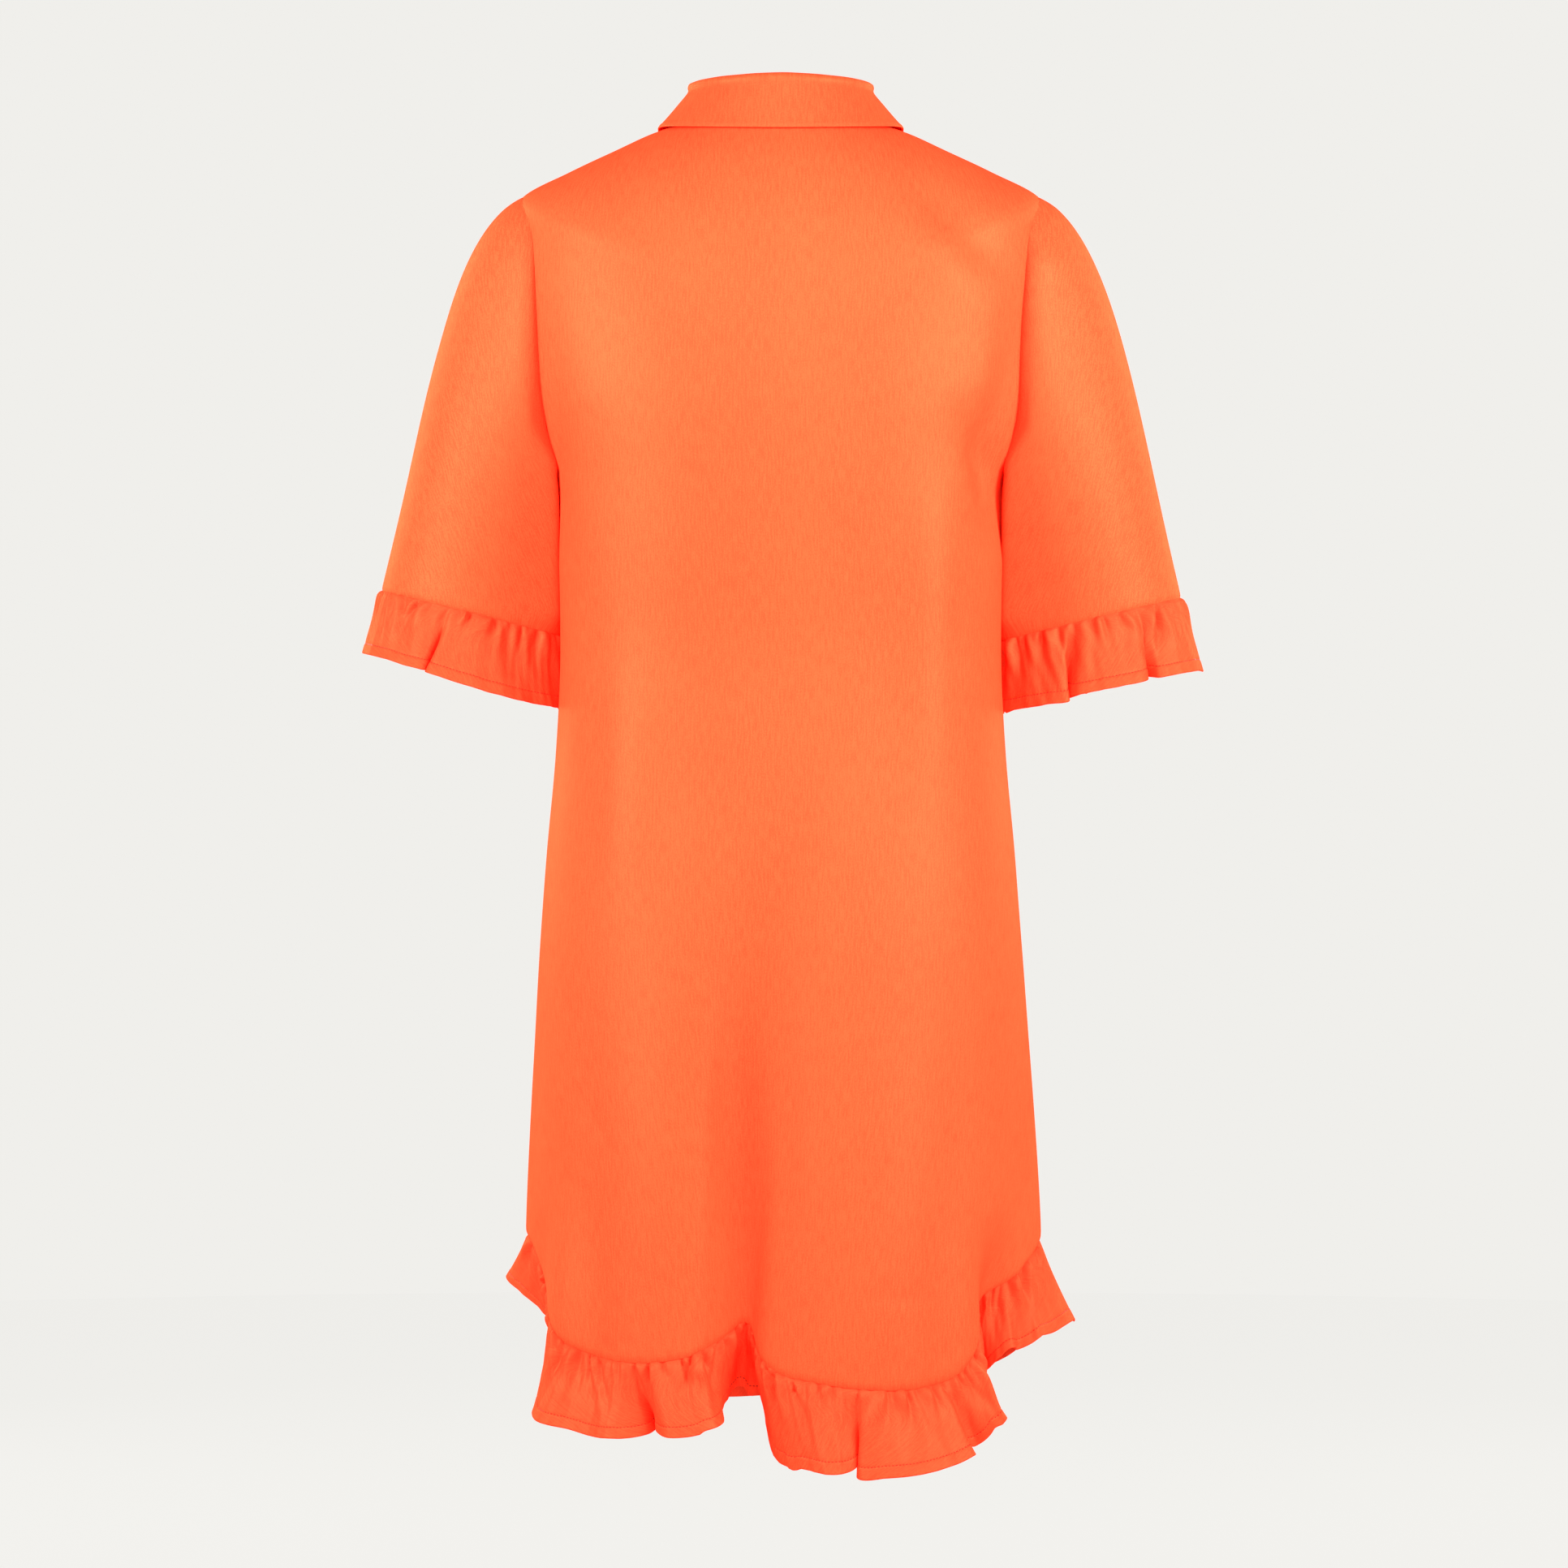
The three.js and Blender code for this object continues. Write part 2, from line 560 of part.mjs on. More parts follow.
/** A gathered hem ruffle between two angles of the hem, below a panel's columns. */
function hemRuffle(fromAngle, toAngle, panelColumns, waves) {
  const columns = evenly(0, 1, waves * COLUMNS_PER_WAVE);
  const rows = evenly(0, 1, RUFFLE_ROWS);
  const lastRow = (LEVEL_HEM - LEVEL_UNDERARM) / SKIRT_ROWS;
  const onPanel = (place, level) => onColumns(place, panelColumns, (share) => (
    body(mix(fromAngle, toAngle, share), level)
  ));
  const seamNormals = columns.map((place) => onColumns(place, panelColumns, (share) => (
    bodyNormal(mix(fromAngle, toAngle, share), LEVEL_HEM)
  )).normalize());
  const points = grid(rows, columns, (place, down) => {
    const angle = mix(fromAngle, toAngle, place);
    const seam = onPanel(place, LEVEL_HEM);
    const fall = seam.clone().sub(onPanel(place, LEVEL_HEM - lastRow)).normalize();
    const along = body(angle + 0.5, LEVEL_HEM).sub(body(angle - 0.5, LEVEL_HEM)).normalize();
    const outward = along.clone().cross(fall).normalize();
    if (outward.dot(new THREE.Vector3(seam.x, seam.y, 0)) < 0) {
      outward.negate();
    }
    const turn = waveTurn(place, waves);
    const growth = down ** 1.15;
    const wave = Math.sin(turn) * HEM_RUFFLE.wave * growth;
    const sway = Math.sin(2 * turn) * HEM_RUFFLE.wave * 0.35 * growth;
    const across = onPanel(Math.min(1, place + 0.004), LEVEL_HEM);
    across.sub(onPanel(Math.max(0, place - 0.004), LEVEL_HEM)).normalize();
    const square = fall.clone().addScaledVector(across, -fall.dot(across)).normalize();
    seam.addScaledVector(square, RUFFLE_SEAM);
    const foot = new THREE.Vector3();
    foot.addScaledVector(outward, hemAt(angle, "flare"));
    foot.addScaledVector(along, hemAt(angle, "sway"));
    const drop = Math.sqrt(HEM_RUFFLE.height ** 2 - foot.lengthSq());
    seam.addScaledVector(fall, drop * down);
    seam.addScaledVector(foot, down ** 1.3);
    seam.addScaledVector(outward, wave);
    seam.addScaledVector(along, sway);
    return seam;
  });
  return wall(points, { normals: [seamNormals] });
}

/** The gathered ruffle of one cuff. */
function cuffRuffle(side) {
  const girth = Math.PI * (CUFF_HALF_WIDTH + CUFF_HALF_DEPTH);
  const waves = Math.round(girth / CUFF_RUFFLE.length);
  const places = evenly(0, 1, waves * COLUMNS_PER_WAVE).slice(0, -1);
  const columns = side > 0 ? places.slice().reverse() : places;
  return wall(grid(evenly(0, 1, RUFFLE_ROWS), columns, (place, down) => {
    const round = 360 * place;
    const turn = 2 * Math.PI * waves * place + 0.5 * Math.sin(3 * round * RADIAN);
    const growth = down ** 1.15;
    const grow = CUFF_RUFFLE.flare * down ** 1.4 + Math.sin(turn) * CUFF_RUFFLE.wave * growth;
    const fall = CUFF_SEAM + CUFF_RUFFLE.height * down;
    return onColumns(place, 2 * ARMHOLE_ROWS, (share) => {
      const point = cuffPoint(side, 360 * share, fall, grow);
      point.x -= side * CUFF_RUFFLE.hang * down * down;
      return clearOfBody(point, side);
    });
  }), { isTube: true });
}

// ---------------------------------------------------------------- collar

/** A point of the fold line at the top of the collar. */
function collarFold(angle) {
  const c = Math.cos(angle * RADIAN);
  const s = Math.sin(angle * RADIAN);
  const depth = s > 0 ? COLLAR_FOLD.backDepth : COLLAR_FOLD.frontDepth;
  const middle = s > 0 ? COLLAR_FOLD.back : COLLAR_FOLD.front;
  return new THREE.Vector3(COLLAR_FOLD.width * c, depth * s, mix(middle, COLLAR_FOLD.side, c * c));
}

/** Outward direction, level, at an angle of the neck. */
function neckOutward(angle) {
  const c = Math.cos(angle * RADIAN) / COLLAR_FOLD.width;
  const s = Math.sin(angle * RADIAN) / COLLAR_FOLD.backDepth;
  return new THREE.Vector3(c, s, 0).normalize();
}

/** The stand of the collar: its right end laps over its left end in front. */
function collarStand() {
  const lap = Math.asin(BAND_HALF_WIDTH / COLLAR_FOLD.width) / RADIAN;
  const columns = evenly(-90 - lap, 270 + lap, 34).reverse();
  return wall(grid([1, 0.5, 0], columns, (angle, up) => {
    const neck = body(angle, 0);
    const point = neck.lerp(collarFold(angle), up);
    point.z += STAND_SEAM * (1 - up);
    const rightEnd = smooth((angle - 270 + 2.2 * lap) / (1.2 * lap));
    const leftEnd = smooth((-90 + 2.2 * lap - angle) / (1.2 * lap));
    return point.addScaledVector(neckOutward(angle), STAND_LAP * (rightEnd - leftEnd));
  }));
}

/** The free edge of the collar, for a place from the middle of the back to its front end. */
function collarEdge(place, side) {
  let i = 0;
  while (i + 2 < COLLAR_EDGE.length && COLLAR_EDGE[i + 1].along <= place) {
    i += 1;
  }
  const row = (k) => COLLAR_EDGE[Math.min(COLLAR_EDGE.length - 1, Math.max(0, k))];
  const f = (place - row(i).along) / (row(i + 1).along - row(i).along);
  const blend = (key) => (
    throughFour(row(i - 1)[key], row(i)[key], row(i + 1)[key], row(i + 2)[key], f)
  );
  const angle = blend("angle");
  return onBody(side > 0 ? angle : 180 - angle, blend("level"), COLLAR_LIFT);
}

// The section of the collar at its fold, out of the fold line and above it.
const COLLAR_SECTION = [
  { out: -0.8, up: 1.5 },
  { out: 1.8, up: 2.0 },
  { out: 4.0, up: 0.0 },
  { out: 4.7, up: -4.0 },
];

/** The fall of the collar, from the fold down to its free edge. */
function collarFall() {
  const places = evenly(-1, 1, 30);
  const downs = [0, 1, 2, 3, 4, 5, 6];
  return wall(grid(downs, places, (place, row) => {
    const side = place > 0 ? -1 : 1;
    const share = Math.abs(place);
    const frontEnd = Math.asin(COLLAR_FRONT_SPACE / COLLAR_FOLD.width) / RADIAN;
    const angle = 90 - side * share * (180 - frontEnd);
    const outward = neckOutward(angle);
    const section = COLLAR_SECTION[Math.min(row, COLLAR_SECTION.length - 1)];
    const step = collarFold(angle + 1).sub(collarFold(angle - 1));
    const above = outward.clone().cross(step).normalize();
    const point = collarFold(angle).addScaledVector(outward, section.out);
    point.addScaledVector(above, section.up);
    if (row >= COLLAR_SECTION.length) {
      const down = (row - COLLAR_SECTION.length + 1) / 3;
      point.lerp(collarEdge(share, side), down);
      point.addScaledVector(outward, 0.8 * Math.sin(Math.PI * down));
    }
    return point;
  }));
}

// ---------------------------------------------------------------- buttons

/** Level on the middle of the front for a height. */
function frontLevelAt(z) {
  let low = 0;
  let high = LEVEL_HEM;
  for (let i = 0; i < 30; i += 1) {
    const level = (low + high) / 2;
    if (body(-90, level).z > z) {
      low = level;
    } else {
      high = level;
    }
  }
  return (low + high) / 2;
}

/** A flat button with a raised rim, standing on a point and facing along a direction. */
function button(foot, facing) {
  const rim = BUTTON_RADIUS;
  const top = BUTTON_THICKNESS;
  const profile = [
    new THREE.Vector2(0, 0),
    new THREE.Vector2(rim, 0),
    new THREE.Vector2(rim, top * 0.8),
    new THREE.Vector2(rim - 0.9, top),
    new THREE.Vector2(rim - 2.0, top * 0.7),
    new THREE.Vector2(0, top * 0.7),
  ];
  const geometry = new THREE.LatheGeometry(profile, BUTTON_SIDES);
  const turn = new THREE.Quaternion();
  turn.setFromUnitVectors(new THREE.Vector3(0, 1, 0), facing.clone().normalize());
  geometry.applyQuaternion(turn);
  geometry.translate(foot.x, foot.y, foot.z);
  return geometry;
}

/** Foot and facing of a button by its number; the first stands on the collar stand. */
function buttonPlace(number) {
  const height = BUTTON_FIRST - BUTTON_STEP * number;
  const isOnStand = number === 0;
  const space = CLOTH / 2 + SEAM + 0.15;
  if (isOnStand) {
    const neck = body(-90, 0);
    const fold = collarFold(-90);
    const share = (height - neck.z) / (fold.z - neck.z);
    const slope = fold.clone().sub(neck).normalize();
    const facing = new THREE.Vector3(0, -slope.z, slope.y);
    const foot = neck.lerp(fold, share).addScaledVector(facing, STAND_LAP + space);
    return { foot, facing };
  }
  const level = frontLevelAt(height);
  const slope = body(-90, level + 0.05).sub(body(-90, level - 0.05)).normalize();
  const facing = new THREE.Vector3(0, slope.z, -slope.y);
  const levels = panelLevels();
  const below = levels.findIndex((value) => value > level);
  const share = (level - levels[below - 1]) / (levels[below] - levels[below - 1]);
  const onBand = (row) => onBody(-90, levels[row], LAID + BAND_CLEAR);
  const foot = onBand(below - 1).lerp(onBand(below), share).addScaledVector(facing, space);
  return { foot, facing };
}

// ---------------------------------------------------------------- the dress

/** Adds one named piece with its own finish. */
function addPiece(group, name, geometry, colour, roughness) {
  const material = new THREE.MeshStandardMaterial({ color: colour, roughness, metalness: 0 });
  const mesh = new THREE.Mesh(geometry, material);
  mesh.name = name;
  group.add(mesh);
}

/** Joins the double points of a turned shape so that it is one closed body. */
function closed(geometry) {
  geometry.deleteAttribute("normal");
  geometry.deleteAttribute("uv");
  const source = geometry.getAttribute("position");
  const index = geometry.getIndex();
  const keys = new Map();
  const positions = [];
  const newIndex = [];
  for (let i = 0; i < source.count; i += 1) {
    const point = [source.getX(i), source.getY(i), source.getZ(i)];
    const key = point.map((value) => Math.round(value * 1e4)).join(" ");
    if (!keys.has(key)) {
      keys.set(key, positions.length / 3);
      positions.push(...point);
    }
    newIndex.push(keys.get(key));
  }
  const triangles = [];
  for (let i = 0; i < index.count; i += 3) {
    const corners = [0, 1, 2].map((k) => newIndex[index.getX(i + k)]);
    if (new Set(corners).size === 3) {
      triangles.push(...corners);
    }
  }
  const result = new THREE.BufferGeometry();
  result.setAttribute("position", new THREE.Float32BufferAttribute(positions, 3));
  result.setIndex(triangles);
  return result;
}

/** Builds every piece of the dress. */
function shirtDress() {
  const group = new THREE.Group();
  group.name = "shirt_dress";
  const cloth = (name, geometry) => addPiece(group, name, geometry, COLOURS.cloth, 0.45);
  cloth("back", backPanel());
  cloth("front_left", frontPanel(true));
  cloth("front_right", frontPanel(false));
  cloth("button_band", buttonBand());
  cloth("sleeve_left", sleeve(1));
  cloth("sleeve_right", sleeve(-1));
  cloth("cuff_ruffle_left", cuffRuffle(1));
  cloth("cuff_ruffle_right", cuffRuffle(-1));
  const sideSpace = degreesFor(SEAM, 2, LEVEL_HEM);
  const split = frontAngleAt(-BAND_HALF_WIDTH, LEVEL_HEM);
  const splitSpace = degreesFor(SEAM, -90, LEVEL_HEM);
  cloth("hem_ruffle_back", hemRuffle(180 - sideSpace, sideSpace, BACK_COLUMNS, 16));
  cloth("hem_ruffle_front_left", hemRuffle(-sideSpace, split + splitSpace, FRONT_COLUMNS, 8));
  cloth("hem_ruffle_front_right", hemRuffle(split - splitSpace, -180 + sideSpace, FRONT_COLUMNS, 7));
  cloth("collar", collarFall());
  addPiece(group, "collar_stand", collarStand(), COLOURS.stand, 0.45);
  for (let number = 0; number < BUTTON_COUNT; number += 1) {
    const place = buttonPlace(number);
    const geometry = closed(button(place.foot, place.facing));
    addPiece(group, `button_${number + 1}`, geometry, COLOURS.button, 0.3);
  }
  return group;
}

export default shirtDress();
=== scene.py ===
"""A satin shirt dress in its worn form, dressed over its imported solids.

The tables and classes work in millimetres, with +Z up, the front of the dress facing -Y and
the wearer's left side on +X. Meshes are written in metres, in the frame of the solids.

The body of the dress is one surface of rings. A ring is found by its level, from the neck
seam (0) to the hem seam (HEM_LEVEL), and a point on it by its angle: 0 at the wearer's left
side, 90 at the middle of the back, 180 at the right side and -90 at the middle of the front.
"""
import logging
import math
from dataclasses import dataclass, field
from enum import Enum
from typing import Any, Callable, Iterable, Sequence

import bpy
import numpy as np
from mathutils import Matrix, Vector


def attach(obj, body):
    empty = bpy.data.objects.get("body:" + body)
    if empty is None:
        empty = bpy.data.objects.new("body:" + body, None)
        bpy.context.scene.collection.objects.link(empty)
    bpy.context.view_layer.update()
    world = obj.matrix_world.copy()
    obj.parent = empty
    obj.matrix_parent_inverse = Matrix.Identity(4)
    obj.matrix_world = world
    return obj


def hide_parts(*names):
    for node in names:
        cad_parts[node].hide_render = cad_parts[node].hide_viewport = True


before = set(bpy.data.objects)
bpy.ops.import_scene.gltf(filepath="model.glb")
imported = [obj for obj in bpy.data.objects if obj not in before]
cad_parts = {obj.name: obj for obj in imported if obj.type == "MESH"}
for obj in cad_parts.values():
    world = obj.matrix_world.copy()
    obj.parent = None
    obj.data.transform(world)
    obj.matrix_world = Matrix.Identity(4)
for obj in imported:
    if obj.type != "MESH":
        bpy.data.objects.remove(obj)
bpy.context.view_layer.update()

LOG = logging.getLogger("shirt_dress")
MM = 0.001
Array = np.ndarray
Piece = bpy.types.Object
Socket = bpy.types.NodeSocket

# ------------------------------------------------------------------ sizes shared by pieces

CLOTH = 0.9  # wall of one ply of cloth
SHOULDER_LEVEL = 4.0
UNDERARM_LEVEL = 8.0
HIP_LEVEL = 13.0
HEM_LEVEL = 16.0
ARMHOLE_BACK = 25.0  # degrees that the armhole is cut into the back
ARMHOLE_FRONT = 29.0
BAND_HALF = 15.0  # half width of the button band
BACK_MIDDLE = 90.0
FRONT_MIDDLE = -90.0
MEAN_RADIUS = 120.0  # of the body, to turn its angles into millimetres
THINNEST = 0.12  # wall left at a rounded edge
THREAD_OUT = 0.12  # how far a stitch's middle stands off the cloth
SHARP_CLOTH = math.radians(62)  # an edge turned more than this is drawn hard
SHARP_BUTTON = math.radians(35)
CREASE_FADE = 1.3  # power with which a crease dies away at its ends
FACING_DEPTH = 40.0  # depth over which a crease passes from one face to the other


class Side(Enum):
    """The wearer's side that a piece is on. The value is the sign of X."""

    LEFT = 1
    RIGHT = -1

    @property
    def word(self) -> str:
        """The side's name in lower case."""
        return self.name.lower()


class Face(Enum):
    """The half of a piece that a crease lies on."""

    BACK = 1
    FRONT = -1


@dataclass(frozen=True)
class Ring:
    """One section of the body: heights, half width, depths and squareness."""

    name: str
    side: float
    back: float
    front: float
    width: float
    back_depth: float
    front_depth: float
    square: float


@dataclass(frozen=True)
class HemPlace:
    """The hem seam at an angle, and how the foot of the ruffle stands there."""

    angle: float
    height: float
    flare: float
    sway: float


@dataclass(frozen=True)
class Fold:
    """A large fold of the body, from its top to its foot."""

    name: str
    top_angle: float
    top: float
    foot_angle: float
    foot: float
    spread: float
    depth: float
    lean: float = 0.0
    keeps: bool = True


@dataclass(frozen=True)
class Crease:
    """A small trough (negative depth) or ridge on one face, by its places in X and Z."""

    name: str
    start: tuple[float, float]
    end: tuple[float, float]
    width: float
    depth: float
    face: Face = Face.BACK
    skew: float = 0.0

    def lift(self, points: Array, middle: float = 0.0) -> Array:
        """How far the crease moves cloth out.

        Args:
            points: places on the cloth, in the last axis.
            middle: Y between the back and the front half of the piece.

        Returns:
            Millimetres out of the cloth, one for each place.
        """
        run = np.subtract(self.end, self.start)
        length = float(np.hypot(*run))
        x = points[..., 0] - self.start[0]
        z = points[..., 2] - self.start[1]
        down = (x * run[0] + z * run[1]) / length**2
        off = (x * run[1] - z * run[0]) / length
        width = self.width * (1 + self.skew * np.tanh(off / self.width))
        fade = np.sin(np.pi * np.clip(down, 0, 1)) ** CREASE_FADE
        facing = smooth(0.5 + self.face.value * (points[..., 1] - middle) / FACING_DEPTH)
        return self.depth * np.exp(-((off / width) ** 2)) * fade * facing


@dataclass(frozen=True)
class FootPlace:
    """Where the foot of a ruffle stands at an angle, against its plain hang."""

    angle: float
    out: float
    along: float = 0.0
    drop: float = 0.0


RINGS = tuple(Ring(*row) for row in (
    ("neck", 4, 8, -60, 74, 60, 76, 2.0),
    ("collar edge", -3, -8, -80, 96, 76, 96, 2.0),
    ("inner shoulder", -15, -30, -102, 122, 94, 114, 2.05),
    ("middle shoulder", -31, -60, -130, 156, 110, 129, 2.1),
    ("shoulder tip", -50, -96, -160, 191, 120, 138, 2.2),
    ("armhole head", -72, -118, -174, 194.5, 124, 140.5, 2.25),
    ("upper armhole", -118, -150, -196, 195, 127, 143, 2.3),
    ("lower armhole", -186, -203, -228, 187, 129, 145, 2.35),
    ("underarm", -255, -257, -262, 168.5, 127, 143, 2.35),
    ("under bust", -318, -318, -320, 164, 122, 132, 2.35),
    ("waist", -390, -390, -390, 162.5, 117, 121, 2.3),
    ("below waist", -462, -462, -462, 166, 121, 121, 2.3),
    ("upper hip", -534, -534, -534, 172.5, 129, 126, 2.3),
    ("hip", -606, -606, -606, 177.5, 135, 131, 2.3),
    ("upper skirt", -676, -712, -704, 180.5, 138, 134, 2.3),
    ("lower skirt", -746, -818, -802, 183, 140, 136, 2.3),
    ("hem", -815, -925, -900, 185, 142, 138, 2.3),
))

HEM = tuple(HemPlace(*row) for row in (
    (0, -816, 12, -43),
    (10, -825, -6, -14),
    (22, -858, -12, -2),
    (34, -884, 9, -8),
    (46, -897, 12, -5),
    (60, -901, 11, 0),
    (72, -896, 9, 0),
    (79, -884, 4, -2),
    (84, -873, -6, 2),
    (88, -896, 0, 2),
    (92, -911, 7, 4),
    (102, -918, 11, 3),
    (116, -920, 12, 2),
    (128, -914, 14, 8),
    (134, -903, 14, 12),
    (142, -878, 8, 6),
    (152, -853, 8, 2),
    (164, -835, 14, 6),
    (180, -819, 22, 22),
    (205, -838, 8, 8),
    (232, -878, 11, 0),
    (270, -900, 10, 0),
    (308, -878, 9, 0),
    (330, -845, -2, -8),
    (347, -822, 0, -30),
))

FOLDS = tuple(Fold(*row) for row in (
    ("back middle trough", 87, -430, 85, -900, 13, -34),
    ("back middle lap", 91, -700, 90, -905, 7, 3, -9),
    ("back left lobe", 60, -500, 62, -900, 22, 9, 3),
    ("back left edge", 34, -760, 35, -880, 14, 8, -1),
    ("left side trough", 18, -780, 17, -850, 12, -4),
    ("left side flare", -6, -560, -6, -830, 17, 4),
    ("back right lobe", 112, -500, 110, -900, 24, 12, -2),
    ("back right edge", 132, -740, 133, -890, 11, 6, -2),
    ("right side trough", 147, -790, 149, -870, 13, -20),
    ("right side flare", 178, -560, 178, -830, 18, 7),
    ("front left fold", -34, -430, -38, -870, 16, 12, 4),
    ("front left trough", -60, -420, -60, -870, 14, -15),
    ("front right trough", -121, -430, -122, -870, 14, -13),
    ("front right fold", -146, -450, -143, -870, 16, 12, -4),
    ("right shoulder drag", 152, -60, 148, -330, 13, -5, 0.0, False),
    ("right back ridge", 128, -230, 124, -560, 14, 4, 0.0, False),
    ("left back ridge", 50, -330, 52, -640, 16, 4, 0.0, False),
))

UNDERARM_HEIGHT = RINGS[int(UNDERARM_LEVEL)].side
HIP_HEIGHT = RINGS[int(HIP_LEVEL)].side


# ------------------------------------------------------------------ numbers and vectors


def mix(a: Any, b: Any, share: Any) -> Any:
    """The value a share of the way from a to b."""
    return a + (b - a) * share


def smooth(share: Any) -> Any:
    """A soft step from 0 to 1."""
    kept = np.clip(share, 0, 1)
    return kept * kept * (3 - 2 * kept)


def power(value: Array, exponent: Any) -> Array:
    """A power that keeps the sign."""
    return np.sign(value) * np.abs(value) ** exponent


def unit(vectors: Array) -> Array:
    """Vectors brought to length 1."""
    length = np.linalg.norm(vectors, axis=-1, keepdims=True)
    return vectors / np.maximum(length, 1e-9)


def turned_to(angle: Any) -> tuple[Array, Array]:
    """Cosine and sine of an angle in degrees."""
    return np.cos(np.radians(angle)), np.sin(np.radians(angle))


def together(a: Any, b: Any) -> tuple[Array, Array]:
    """Two values as arrays of one shape."""
    return np.broadcast_arrays(np.asarray(a, float), np.asarray(b, float))


def eased(b: Array, c: Array, slope_b: Array, slope_c: Array, f: Array) -> Array:
    """Smooth value f of the way from b to c, with a slope at each."""
    f2 = f * f
    f3 = f2 * f
    return (
        (2 * f3 - 3 * f2 + 1) * b
        + (f3 - 2 * f2 + f) * slope_b
        + (3 * f2 - 2 * f3) * c
        + (f3 - f2) * slope_c
    )


def through_four(a: Array, b: Array, c: Array, d: Array, f: Array) -> Array:
    """Smooth value through four neighbours, f of the way from b to c."""
    return eased(b, c, (c - a) / 2, (d - b) / 2, f)


def through_rows(table: Array, place: Array) -> Array:
    """Smooth values of a table's rows at places between them."""
    last = len(table) - 1
    row = np.clip(np.floor(place).astype(int), 0, last - 1)
    near = [np.clip(row + k, 0, last) for k in (-1, 0, 1, 2)]
    share = (place - row).reshape(row.shape + (1,) * (table.ndim - 1))
    return through_four(*(table[k] for k in near), share)


def halved(low: Array, high: Array, is_before: Callable[[Array], Array],
           rounds: int = 26) -> tuple[Array, Array]:
    """Narrows a span to the place where a test stops being true.

    Args:
        low: starts of the spans.
        high: ends of the spans.
        is_before: whether each value lies before the place looked for.
        rounds: how often the spans are halved.

    Returns:
        The narrowed starts and ends.
    """
    for _ in range(rounds):
        middle = (low + high) / 2
        before = is_before(middle)
        low = np.where(before, middle, low)
        high = np.where(before, high, middle)
    return low, high


def spaced(start: float, end: float, step: float, edge: Sequence[float] = ()) -> Array:
    """Values from start to end, with closer ones near both ends.

    Args:
        start: first value.
        end: last value.
        step: greatest space between two values.
        edge: distances from each end that get a value of their own.

    Returns:
        The values in order.
    """
    low = [start + d for d in edge]
    high = [end - d for d in reversed(edge)]
    inner_start = low[-1] if low else start
    inner_end = high[0] if high else end
    count = max(2, int(math.ceil((inner_end - inner_start) / step)) + 1)
    inner = np.linspace(inner_start, inner_end, count)
    return np.unique(np.round(np.concatenate([[start], low, inner, high, [end]]), 6))


def lengths(points: Array, axis: int) -> Array:
    """Distance run along a grid's rows (axis 1) or columns (axis 0)."""
    steps = np.linalg.norm(np.diff(points, axis=axis), axis=-1)
    shape = list(points.shape[:2])
    shape[axis] = 1
    return np.concatenate([np.zeros(shape), np.cumsum(steps, axis=axis)], axis=axis)


# ------------------------------------------------------------------ the body's surface


